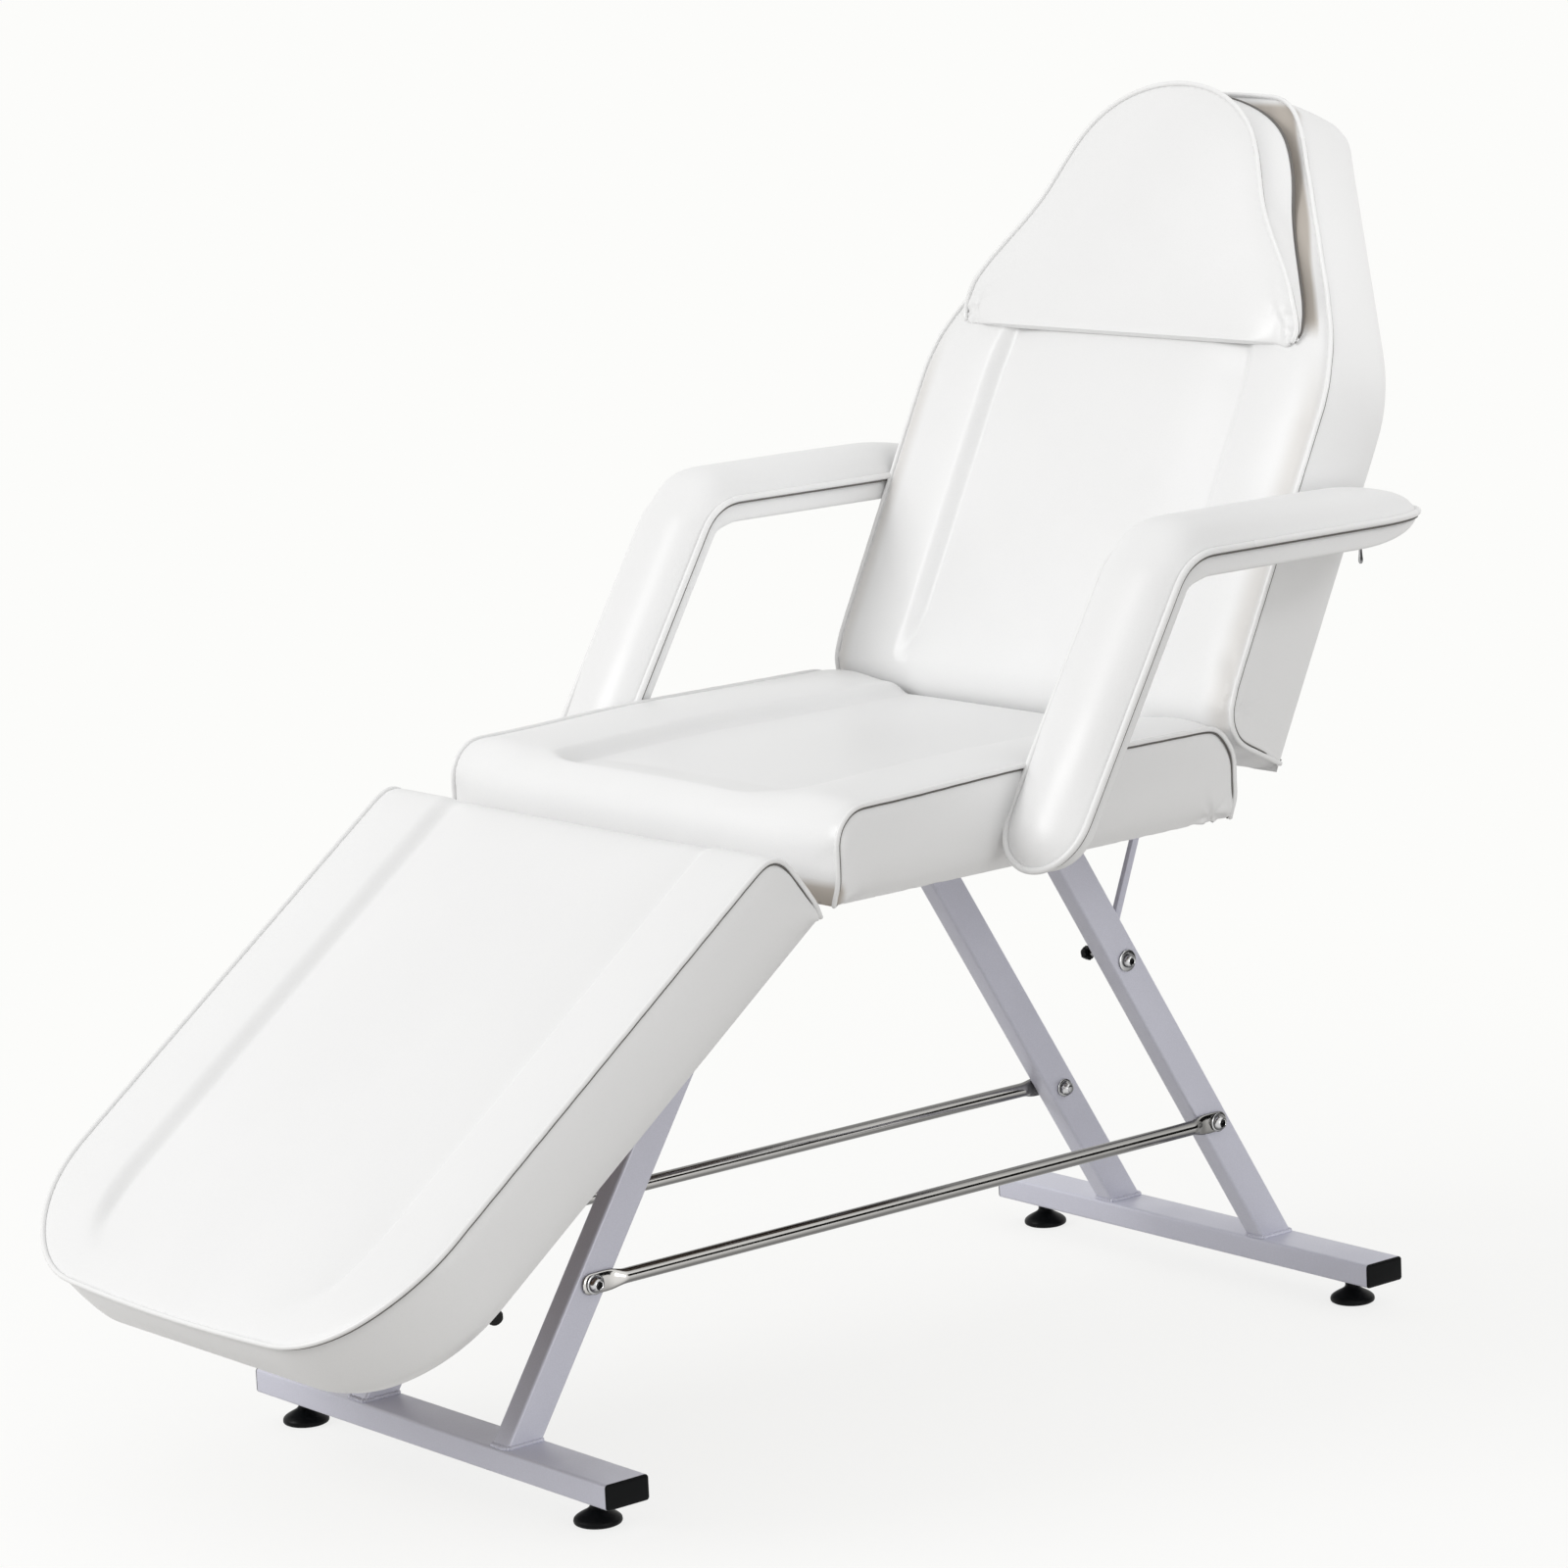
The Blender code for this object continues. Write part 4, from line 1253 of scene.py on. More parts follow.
@dataclass
class Cushion:
    """What every padded piece of the bed shares: its frame, its body and how it is finished."""

    frame: JointFrame
    body: Body
    node: str
    welt_radius: float = 0.0025
    # Radius of the dark cord laid as a painted shadow line beside the piping.
    seam_radius: float = 0.0009
    pressure: float = 4.0
    most: float = 0.007
    fill: float = 0.75

    def sheltered(self, points: Array) -> Array:
        """How much painted shade the cover takes at points in the cushion's own frame: none by default."""
        return np.zeros(len(points))

    def pinch_pair(self, spot: Point, radius: float, depth: float, folds: int) -> list[Pinch]:
        """A gathered place on each side, from its spot on the left in the cushion's own frame."""
        spots = self.frame.place(np.array([(side.value * spot[0], *spot[1:]) for side in Side]))
        return [Pinch(tuple(place), radius, depth, folds) for place in spots]

    def finish_cover(self, skin: Skin, seams: Array, pinches: Sequence[Pinch],
                     finishes: FinishSet) -> Piece:
        """Fills, refines and places a cover.

        Args:
            skin: The cover's grids in the cushion's own frame.
            seams: Points of its seams in the bed's frame.
            pinches: Its gathered places in the bed's frame.
            finishes: The materials.

        Returns:
            The finished cover, riding on its body in place of its node.
        """
        obj = skin.build(self.node + "_cover", finishes.leather)
        fill_out(obj, self.pressure, self.most)
        set_coordinates(obj.data, self.frame.place(coordinates(obj.data)))
        subdivide(obj)
        gather_folds(obj, pinches)
        mark_seams(obj, seams, pinches, self.sheltered(self.frame.undo(coordinates(obj.data))))
        keep(obj, Slot.LEATHER, self.node, body=self.body.value)
        return obj

    def lay_cord(self, name: str, path: Array, radius: float, finish: Material, sides: int,
                 closed: bool = False, spacing: float = 0.004, rounds: int = 3) -> None:
        """Lays a cord on the cover, with its path respaced and its kinks eased in rounds."""
        path = relax(resample(path, spacing, closed), rounds, closed)
        keep(tube(name, path, radius, finish, sides, closed), Slot.LEATHER, body=self.body.value)

    def sew_welt(self, name: str, seam: Array, out: Array, over: Array, finishes: FinishSet,
                 closed: bool = False) -> None:
        """Lays the piping on a seam, and under it a dark cord that is the painted shadow line of the crease.

        Args:
            name: The piping's name.
            seam: The seam's points in the bed's frame.
            out: The side panel's outward way at each point.
            over: The cover's outward way at each point.
            finishes: The materials.
            closed: True where the seam joins itself.
        """
        radius = self.welt_radius
        centre = seam + (out * 0.55 + over * 0.35) * radius
        line = seam + out * (0.35 * radius) - over * (0.95 * radius + 0.4 * self.seam_radius)
        self.lay_cord(name, centre, radius, finishes.welt, 12, closed)
        # The dark cord is painted shade: the shadow line beside the piping.
        self.lay_cord(name + "_seam", line, self.seam_radius, finishes.seam, 6, closed)


@dataclass
class WrapCushion(Cushion):
    """A cushion whose cover wraps over one or both ends, with side panels let in along piping."""

    start: float = 0.0
    end: float = 0.5
    top: float = 0.1
    floor: float = 0.0
    forward: int = 1
    round_start: float = 0.03
    round_end: float = 0.0
    corner: float = 0.05
    foot_inset: float = 0.008
    edge_roll: float = 0.014
    edge_drop: float = 0.0025
    swell: float = 0.002
    crease_at: float = 0.68
    half: float = 0.300
    lip_start: float = 0.0
    lip_end: float = 0.0
    turn_under: float = 0.042
    step: float = 0.020

    def half_width(self, u: Array) -> Array:
        """Half the cushion's width along its length."""
        raise NotImplementedError

    def relief(self, share: Array, u: Array) -> Array:
        """How far the cover stands proud of its flat top."""
        raise NotImplementedError

    def crease(self, u: Array) -> Array:
        """How strongly the long creases are drawn in along the length."""
        raise NotImplementedError

    def cut_corner(self, u: Array) -> Array:
        """How far the boxed end's round corners come in along the length."""
        past = np.maximum(0.0, np.asarray(u, float) - (self.end - self.corner))
        return np.sqrt(np.maximum(0.0, self.corner ** 2 - past ** 2)) - self.corner

    def panel(self, share: Array, stop: Array) -> Array:
        """One inside the let-in panel and zero on the bolsters round it, with a soft step between."""
        inside = smooth_min((self.crease_at - np.abs(share)) * self.half, stop, 0.05)
        return fade(inside, -0.5 * self.step, 0.5 * self.step)

    def bow(self, x: Array, u: Array) -> Array:
        """How far the boxed end bows out."""
        return np.zeros(np.broadcast(x, u).shape)

    def pinches(self) -> list[Pinch]:
        """Gathered places, in the bed's frame."""
        return []

    @property
    def boxed_end(self) -> bool:
        """True where the far end has a border panel and not a wrapped cover."""
        return self.round_end == 0.0

    def shares(self) -> Array:
        """Columns across the cushion, closer together at the creases and the edges.

        Returns:
            Shares across the width, -1 to 1.
        """
        at = self.crease_at
        half = np.concatenate((np.linspace(0, at - 0.10, 8), np.linspace(at - 0.066, at + 0.080, 12),
                               np.linspace(at + 0.11, 0.94, 7), np.array((0.962, 0.98, 0.992, 1.0))))
        return np.concatenate((-half[:0:-1], half))

    def profile(self) -> Array:
        """(u, z) along the cover from its first lower edge to the end.

        Returns:
            One row of u, z for each point.
        """
        r, high = self.round_start, self.top
        rows = [(self.start, z) for z in np.linspace(self.floor - self.lip_start, high - r, 8)]
        rows += [(self.start + r * (1 - math.cos(a)), high - r + r * math.sin(a))
                 for a in np.linspace(0, math.pi / 2, 9)[1:]]
        last = self.end - (self.corner if self.boxed_end else self.round_end)
        count = int((last - self.start - r) / 0.0105)
        rows += [(u, high) for u in np.linspace(self.start + r, last, count)[1:]]
        if self.boxed_end:
            rows += [(last + self.corner * math.sin(a), high) for a in np.linspace(0, math.pi / 2, 15)[1:]]
        else:
            r = self.round_end
            rows += [(last + r * math.sin(a), high - r + r * math.cos(a))
                     for a in np.linspace(0, math.pi / 2, 9)[1:]]
            rows += [(self.end, z) for z in np.linspace(high - r, self.floor - self.lip_end, 8)[1:]]
        return np.array(rows)

    def lower_edge(self, u: Array) -> Array:
        """Height of the cushion's lower edge along its length."""
        share = np.clip((u - self.start) / (self.end - self.start), 0.0, 1.0)
        return self.floor - self.lip_start * (1 - share) - self.lip_end * share

    def cover_grid(self) -> tuple[Array, Array]:
        """The cover's points as x, u, z, and its outward plan ways along the right-hand edge.

        Returns:
            The grid of points, and one way in plan for each row.
        """
        rows, shares = self.profile(), self.shares()
        ahead = unit(np.gradient(rows, axis=0))
        outward = np.stack((-ahead[:, 1], ahead[:, 0]), axis=1)
        u, z = rows[:, 0], rows[:, 1]
        lift = fade(z - self.lower_edge(u), 0.0, 0.022)
        wide = self.half_width(u) - self.foot_inset * (1 - lift)
        x = shares[None] * wide[:, None]
        along = u[:, None] + self.bow(x, u[:, None])
        flat = np.stack((x, along, np.broadcast_to(z[:, None], x.shape)), axis=2)
        edge = [flat[:, 0], flat[:, -1]] + ([flat[-1]] if self.boxed_end else [])
        edge = np.vstack([resample(run, 0.003) for run in edge])
        away = distance_to(edge, flat)
        rolled = np.clip(1 - away / self.edge_roll, 0.0, 1.0)
        drop = self.edge_drop * rolled ** 2
        raised = self.relief(shares[None], u[:, None]) * fade(z, self.top - 0.02, self.top)[:, None] - drop
        flat[..., 1] += outward[:, :1] * raised
        flat[..., 2] += outward[:, 1:] * raised
        turn = np.stack((np.gradient(wide), np.gradient(u)), axis=1)
        side = np.stack((turn[:, 1], -turn[:, 0]), axis=1)
        faint = np.linalg.norm(turn, axis=1) < 0.004
        side[faint | (np.abs(ahead[:, 1]) > 0.2)] = (1.0, 0.0)
        side = unit(side)
        if self.boxed_end:
            side[-1] = (0.0, 1.0)
        return flat, side

    def side_panel(self, seam: Array, side: Array, plan: Array, spread_ends: bool) -> Array:
        """A panel from a run of the seam down to the lower edge.

        Args:
            seam: The seam's points as x, u, z.
            side: The panel's outward way in plan at each point.
            plan: Where along the cushion the lower edge stands at each point.
            spread_ends: True where the panel takes in a wrapped end.

        Returns:
            A grid of seam points by levels.
        """
        foot = seam.copy()
        foot[:, 1] = plan
        if spread_ends:
            reach = self.round_start + 0.03
            first = int(np.argmax(seam[:, 1] > self.start + reach))
            foot[:first, 1] = self.start + (seam[first, 1] - self.start) * np.arange(first) / first
            if not self.boxed_end:
                reach = self.round_end + 0.03
                last = int(np.argmax(seam[:, 1] > self.end - reach))
                count = len(seam) - last
                foot[last:, 1] = seam[last, 1] + (self.end - seam[last, 1]) * np.arange(count) / (count - 1)
        foot[:, 2] = self.lower_edge(foot[:, 1])
        height = seam[:, 2] - foot[:, 2]
        sunk = fade(height, 0.0, 0.022)
        foot[:, 0] -= side[:, 0] * self.foot_inset * sunk
        foot[:, 1] -= side[:, 1] * self.foot_inset * sunk
        t = np.array(((0.0, 0.025, 0.06, 0.12, 0.22, 0.35, 0.5, 0.65, 0.78, 0.87, 0.93, 0.97, 1.0),))
        body = self.foot_inset * t * (1 - fade(t, 0.84, 1.0)) + self.swell * np.sin(np.pi * t)
        tuck = self.welt_radius * np.exp(-((t * height[:, None] - 0.004) / 0.004) ** 2)
        push = (body - tuck) * fade(height, 0.004, 0.03)[:, None]
        grid = seam[:, None] * (1 - t[..., None]) + foot[:, None] * t[..., None]
        grid[..., 0] += side[:, :1] * push
        grid[..., 1] += side[:, 1:] * push
        return grid

    def underside(self, right: Array, left: Array) -> Array:
        """The cover turned under the board's edge, with its raw edge running up against the board.

        Args:
            right: The lower edge on the right-hand side.
            left: The lower edge on the left-hand side.

        Returns:
            A grid of rows by columns across the cushion.
        """
        shares = self.shares()
        grid = np.stack([right * 0.5 * (1 + s) + left * 0.5 * (1 - s) for s in shares], axis=1)
        edge = np.vstack([resample(run, 0.003) for run in (right, left, grid[0], grid[-1])])
        away = distance_to(edge, grid)
        level = grid[..., 2] + (self.floor - grid[..., 2]) * fade(away, 0.0, 0.014)
        grid[..., 2] = level + 0.005 * fade(away, self.turn_under - 0.003, self.turn_under + 0.003)
        return grid

    @property
    def facing(self) -> Array:
        """Takes points given as x, u, z to the frame's own x, y, z."""
        return np.array((1.0, self.forward, 1.0))

    def build(self, finishes: FinishSet) -> Piece:
        """Makes the cover with its piping.

        Args:
            finishes: The materials.

        Returns:
            The cover.
        """
        cover, side = self.cover_grid()
        shares = self.shares()
        plan = self.profile()[:, 0]
        right = self.side_panel(cover[:, -1], side, plan, True)
        left = self.side_panel(cover[:, 0], side * np.array((-1.0, 1.0)), plan, True)
        held = held_edges(cover)
        held[(0, -1), :] = 1.0
        if self.boxed_end:
            held[plan > self.end - 0.005] = 1.0
        near = np.abs(np.abs(shares) - self.crease_at) < 0.034
        held[:, near] = np.maximum(held[:, near], self.crease(cover[:, :1, 1]))
        panels = [(cover, held), (right, held_edges(right)), (left, held_edges(left)),
                  (self.underside(right[:, -1], left[:, -1]), 1.0)]
        if self.boxed_end:
            ways = np.tile((0.0, 1.0), (len(shares), 1))
            end = self.side_panel(cover[-1], ways, np.full(len(shares), self.end), False)
            panels.append((end, held_edges(end)))
        skin = Skin()
        for grid, hold in panels:
            skin.add(grid * self.facing, hold)
        seam, out, over = self.seam_path(cover, side)
        obj = self.finish_cover(skin, seam, self.pinches(), finishes)
        self.sew(seam, out, over, finishes)
        return obj

    def staple(self, row: PathRow, finishes: FinishSet) -> None:
        """A row of staples that hold the turned-under cover to the board.

        Args:
            row: Lays copies along a path.
            finishes: The materials.
        """
        inset, level = 0.030, self.floor - 0.0003
        u = np.linspace(self.start + inset, self.end - inset - (0.03 if self.boxed_end else 0.0), 60)
        wide = self.half_width(u) - inset
        loop = np.vstack((np.column_stack((wide, u)), np.column_stack((-wide, u))[::-1]))
        loop = np.vstack((loop, loop[:1]))
        path = self.frame.place(np.column_stack((loop, np.full(len(loop), level))) * self.facing)
        bar = small_bar("staple", (0.0046, 0.0006, 0.0005), (0.0003, 0.0002), 0.0002, finishes.zinc)
        down = tuple(self.frame.swing(np.array((0.0, 0.0, -1.0))))
        staples = row.lay(self.node + "_staples", [path], bar, 0.024, down, 0.05)
        keep(staples, Slot.ZINC, body=self.body.value)

    def sew(self, seam: Array, out: Array, over: Array, finishes: FinishSet) -> None:
        """Sews the piping, one run for a boxed end and one a side for a wrapped cover.

        Args:
            seam: The seam's points in the bed's frame.
            out: The side panel's outward way at each point.
            over: The cover's outward way at each point.
            finishes: The materials.
        """
        if self.boxed_end:
            self.sew_welt(self.node + "_piping", seam, out, over, finishes)
            return
        half = len(seam) // 2
        for side, part in ((Side.RIGHT, slice(0, half)), (Side.LEFT, slice(half, None))):
            self.sew_welt(f"{self.node}_piping_{side.word}", seam[part], out[part], over[part], finishes)

    def seam_path(self, cover: Array, side: Array) -> tuple[Array, Array, Array]:
        """The seam's points in the bed's frame with its outward ways on both sides.

        Args:
            cover: The cover's grid of points.
            side: The panel's outward ways in plan.

        Returns:
            The points, the side panel's ways and the cover's ways.
        """
        right_out = np.column_stack((side, np.zeros(len(side))))
        left_out = right_out * np.array((-1.0, 1.0, 1.0))
        if self.boxed_end:
            end_out = np.tile((0.0, 1.0, 0.0), (cover.shape[1] - 2, 1))
            seam = np.vstack((cover[:, 0], cover[-1, 1:-1], cover[::-1, -1]))
            out = np.vstack((left_out, end_out, right_out[::-1]))
            runs = [slice(0, len(seam))]
        else:
            seam = np.vstack((cover[:, 0], cover[:, -1]))
            out = np.vstack((left_out, right_out))
            runs = [slice(0, len(cover)), slice(len(cover), None)]
        over = np.zeros_like(seam)
        middle = np.array((0.0, (self.start + self.end) / 2, (self.top + self.floor) / 2))
        for run in runs:
            ways = unit(np.cross(unit(np.gradient(seam[run], axis=0)), out[run]))
            inner = seam[run] - middle
            inner[:, 0] = 0.0
            over[run] = ways * np.sign(np.sum(ways * inner, axis=1))[:, None]
        turn = self.facing
        return self.frame.place(seam * turn), self.frame.swing(out * turn), self.frame.swing(over * turn)


@dataclass
class LegRest(WrapCushion):
    """The leg rest: wrapped at the seat end, boxed with large round corners at the foot end."""

    end_bow: float = 0.015
    roll: float = 0.0075
    crown: float = 0.003
    groove: float = 0.0045

    def half_width(self, u: Array) -> Array:
        """Straight sides that turn into the foot end's round corners."""
        return self.half + self.cut_corner(u)

    def crease(self, u: Array) -> Array:
        """Creases from the seat end that die out in soft pockets above the foot end."""
        return 1 - fade(u, self.end - 0.085, self.end - 0.045)

    def relief(self, share: Array, u: Array) -> Array:
        """Bolsters along both sides and the foot end round a lightly crowned panel.

        Args:
            share: Share across the width, -1 to 1.
            u: Distance along the length.

        Returns:
            The height over the flat top.
        """
        side = np.abs(share)
        panel = self.panel(share, self.end - 0.036 - u)
        roll = self.roll * (1 - panel) * (1 - 0.55 * fade(u, self.end - 0.10, self.end - 0.02))
        crown = self.crown * (1 - fade(side, 0.1, 0.62)) * panel
        groove = self.groove * hump(side, self.crease_at - 0.03, 0.06) * self.crease(u)
        ends = window(u, self.start - 0.01, self.start + 0.03, self.end - 0.045, self.end)
        return (roll + crown - groove) * ends

    def bow(self, x: Array, u: Array) -> Array:
        """The foot end's outward bow."""
        lower = fade(u, self.end - self.corner - 0.154, self.end)
        return self.end_bow * (1 - (x / self.half) ** 2) * lower


@dataclass
class Seat(WrapCushion):
    """The seat: a cover wrapped over front and rear between two D-shaped side panels."""

    rise: float = 0.007
    bolster: float = 0.006
    hollow: float = 0.016
    shade_top: float = 0.572

    def half_width(self, u: Array) -> Array:
        """Straight sides."""
        return np.full(np.shape(u), self.half)

    def crease(self, u: Array) -> Array:
        """Creases from behind the front roll to the rear."""
        return window(u, self.start + 0.03, self.start + 0.07, self.end - 0.05, self.end - 0.01)

    def relief(self, share: Array, u: Array) -> Array:
        """Side bolsters and a narrow front roll round a recessed middle, rising a little to the rear.

        Args:
            share: Share across the width, -1 to 1.
            u: Distance along the length.

        Returns:
            The height over the flat top.
        """
        bolster = self.bolster * hump(np.abs(share), 0.84, 0.22)
        hollow = self.hollow * self.panel(share, u - self.start - 0.030)
        lift = self.rise * fade(u, self.start + 0.03, self.start + 0.26)
        ends = window(u, self.start, self.start + 0.03, self.end - 0.035, self.end)
        return (bolster - hollow + lift) * ends

    def sheltered(self, points: Array) -> Array:
        """Painted shade on the lower part of the front face, behind the leg rest."""
        low = 1 - fade(points[:, 2], self.shade_top - 0.012, self.shade_top)
        return low * (1 - fade(points[:, 1], self.start + 0.004, self.start + 0.012))

    def pinches(self) -> list[Pinch]:
        """Gathers at the rear lower corners of the side panels."""
        return self.pinch_pair((self.half - 0.003, self.end - 0.030, self.floor + 0.006), 0.045, 0.0016, 5)


@dataclass
class Backrest(WrapCushion):
    """The backrest: wrapped at the seat end, tapering past the shoulders to a narrow boxed head end."""

    head_half: float = 0.145
    head_lean: float = 0.009
    head_bow: float = 0.005
    shoulder: float = 0.412
    taper: float = 0.62
    roll: float = 0.0065
    groove: float = 0.0055
    pillow_foot: float = 0.434
    rim_shade: float = 0.36

    def half_width(self, u: Array) -> Array:
        """Straight sides, sloping shoulders and a round-cornered head end.

        Args:
            u: Distance along the length.

        Returns:
            Half the width at each distance.
        """
        slope = self.half - self.taper * (np.asarray(u, float) - self.shoulder)
        wide = -smooth_min(-smooth_min(self.half, slope, 0.03), -self.head_half, 0.010)
        return wide + self.cut_corner(u)

    def crease(self, u: Array) -> Array:
        """Creases from above the seat to the pillow."""
        return window(u, self.start + 0.04, self.start + 0.10, 0.40, 0.46)

    def relief(self, share: Array, u: Array) -> Array:
        """Bolsters along both sides of a panel that ends under the pillow.

        Args:
            share: Share across the width, -1 to 1.
            u: Distance along the length.

        Returns:
            The height over the flat top.
        """
        panel = self.panel(share, u - self.start + 0.04)
        roll = self.roll * (1 - panel) * (1 - fade(u, 0.40, 0.50))
        groove = self.groove * hump(np.abs(share), self.crease_at - 0.03, 0.06) * self.crease(u)
        return (roll - groove) * window(u, self.start, self.start + 0.07, self.end - 0.05, self.end)

    def bow(self, x: Array, u: Array) -> Array:
        """The head end's slight bow, set back from the rear edge."""
        bowed = self.head_bow * (1 - (x / self.head_half) ** 2) - self.head_lean
        return bowed * fade(u, self.end - 0.06, self.end)

    def sheltered(self, points: Array) -> Array:
        """Painted shade on the border of the cover behind the pillow, and faintly on the rolled edge below
        it.

        Args:
            points: Points in the cushion's own frame.

        Returns:
            How much painted shade each point takes, 0 to 1.
        """
        u, z = points[:, 1], points[:, 2]
        edge = self.half_width(u) - np.abs(points[:, 0])
        # Painted shade behind the pillow, fading in from the cover's border; a fainter painted shade on the
        # rolled edges below.
        behind = window(u, self.pillow_foot, self.pillow_foot + 0.026, self.end - 0.018, self.end - 0.008)
        inset = 0.010 - 0.007 * fade(u, 0.50, 0.58)
        pillow_shade = behind * fade(edge - inset, 0.0, 0.006) * fade(z, 0.026, 0.034)
        pillow_shade *= 1 - 0.85 * fade(edge, 0.045, 0.120)
        rolled = (1 - fade(edge, 0.010, 0.034)) * fade(edge, 0.001, 0.006) * fade(z, 0.030, 0.038)
        return np.maximum(pillow_shade, self.rim_shade * rolled * (1 - fade(u, 0.34, 0.44)))

    def pinches(self) -> list[Pinch]:
        """Gathers beside the piping at the lower corners of the side panels."""
        return self.pinch_pair((self.half - 0.002, self.start + 0.044, self.top - 0.022), 0.040, 0.0014, 5)


@dataclass
class HeadPillow(Cushion):
    """The head pillow: a domed front over a boxing that thins to pinched lower corners."""

    half: float = 0.250
    height: float = 0.262
    top_half: float = 0.144
    dome: float = 0.112
    foot: float = 0.016
    depth: float = 0.014
    toe: float = 0.016
    flank: float = 0.024
    hang: float = 0.004

    def half_width(self, u: Array) -> Array:
        """A wide foot that flares into a domed top.

        Args:
            u: Distance along the length.

        Returns:
            Half the width at each distance.
        """
        start = self.height - self.dome
        past = np.maximum(0.0, u - start) / self.dome
        foot = np.maximum(0.0, self.toe - u)
        flare = (self.half - self.top_half) * hump(u, 0.0, self.height * 0.8) ** 1.3
        wide = (self.top_half + flare) * np.maximum(0.002, 1 - past ** 2.05) ** (1 / 2.05)
        return wide + np.sqrt(self.toe ** 2 - foot ** 2) - self.toe

    def grids(self) -> tuple[Array, Array]:
        """The front and the back as grids of points.

        Returns:
            The front's points and the back's.
        """
        start = self.height - self.dome
        low = self.toe * (1 - np.cos(np.linspace(0, np.pi / 2, 7)))
        high = start + self.dome * np.sin(np.linspace(0, np.pi / 2, 22))
        u = np.concatenate((low, np.linspace(self.toe, start, 17)[1:-1], high))
        edge = np.linspace(0.9, 1, 5)
        shares = np.concatenate((-edge[::-1], np.linspace(-0.85, 0.85, 31), edge))
        wide = self.half_width(u)
        x = shares[None] * wide[:, None]
        flank = self.flank * fade(wide, 0.01, 0.12) * fade(u, 0.045, 0.185)
        behind = shares[None] * (wide + flank)[:, None]
        u = np.broadcast_to((u - self.hang * (1 - fade(u, 0.0, 0.05)))[:, None], x.shape)
        side = np.abs(shares)[None]
        swell = (1 - side ** 2) * fade(u, 0.0, 0.09) * (1 - fade(u, self.height - 0.07, self.height))
        pinch = (1 - fade(u, 0.0, 0.045)) * fade(side, 0.80, 1.0)
        front = self.foot * (1 - 0.55 * pinch) + 0.008 * swell
        rim = np.maximum(side ** 2, fade(u, self.height - 0.055, self.height))
        back = 0.0012 - self.depth * fade(u, 0.0, 0.13) * (0.45 + 0.55 * rim)
        return np.stack((x, u, front), axis=2), np.stack((behind, u, back), axis=2)

    @staticmethod
    def border(grid: Array) -> Array:
        """A grid's edge in order, as a closed run."""
        return np.vstack((grid[0], grid[1:-1, -1], grid[-1][::-1], grid[1:-1, 0][::-1]))

    def build(self, finishes: FinishSet) -> Piece:
        """Makes the pillow with its piping.

        Args:
            finishes: The materials.

        Returns:
            The cover.
        """
        front, back = self.grids()
        upper, lower = self.border(front), self.border(back)
        plan = np.roll(upper, -1, axis=0) - np.roll(upper, 1, axis=0)
        out = unit(np.column_stack((plan[:, 1], -plan[:, 0], np.zeros(len(plan)))))
        levels = np.array((0.0, 0.05, 0.14, 0.3, 0.5, 0.7, 0.88, 1.0))
        deep = (upper - lower)[:, 2]
        tuck = np.exp(-((levels[None] * deep[:, None] - 0.004) / 0.004) ** 2) * self.welt_radius
        inset = (0.0025 * np.sin(np.pi * levels)[None] + tuck) * fade(deep, 0.008, 0.022)[:, None]
        wall = upper[:, None] * (1 - levels[None, :, None]) + lower[:, None] * levels[None, :, None]
        wall -= out[:, None] * inset[..., None]
        wall = np.vstack((wall, wall[:1]))
        held = held_edges(front)
        along = front[:, 0, 1]
        held[(along < along[0] + 0.007) | (along > along[-1] - 0.004)] = 1.0
        skin = Skin()
        skin.add(front, held)
        skin.add(back, 1.0)
        skin.add(wall, held_edges(wall))
        top_way = np.tile((0.0, 0.0, 1.0), (len(upper), 1))
        seam = self.frame.place(upper)
        pinches = self.pinch_pair((self.half - 0.012, 0.010, 0.012), 0.060, 0.0020, 6)
        run = np.arange(front.shape[1] + 2, len(upper) - 2)
        obj = self.finish_cover(skin, seam[run], pinches, finishes)
        ways = self.frame.swing(out)[run], self.frame.swing(top_way)[run]
        self.sew_welt(self.node + "_piping", seam[run], *ways, finishes)
        # A dark cord as painted shade: the shadow line where the pillow's rear edge meets the backrest.
        self.lay_cord(self.node + "_rear_seam", self.frame.place(lower)[run], 0.0015, finishes.seam, 8)
        return obj


# Height, half width and inset of each section of a zip's slider.
ZIP_SLIDER = ((0.0015, 0.0030, 0.0004), (-0.0004, 0.0033, 0.0), (-0.0022, 0.0030, 0.0004),
              (-0.0034, 0.0014, 0.0014), (-0.0046, 0.0010, 0.0020))
# (y, z) along the rolled rim of the pocket at an arm's foot.
POCKET_RIM = ((-0.0560, 0.5925), (-0.0620, 0.5912), (-0.0677, 0.5875), (-0.0712, 0.5804), (-0.0700, 0.5730),
              (-0.0650, 0.5685), (-0.0560, 0.5620), (-0.0500, 0.5560))


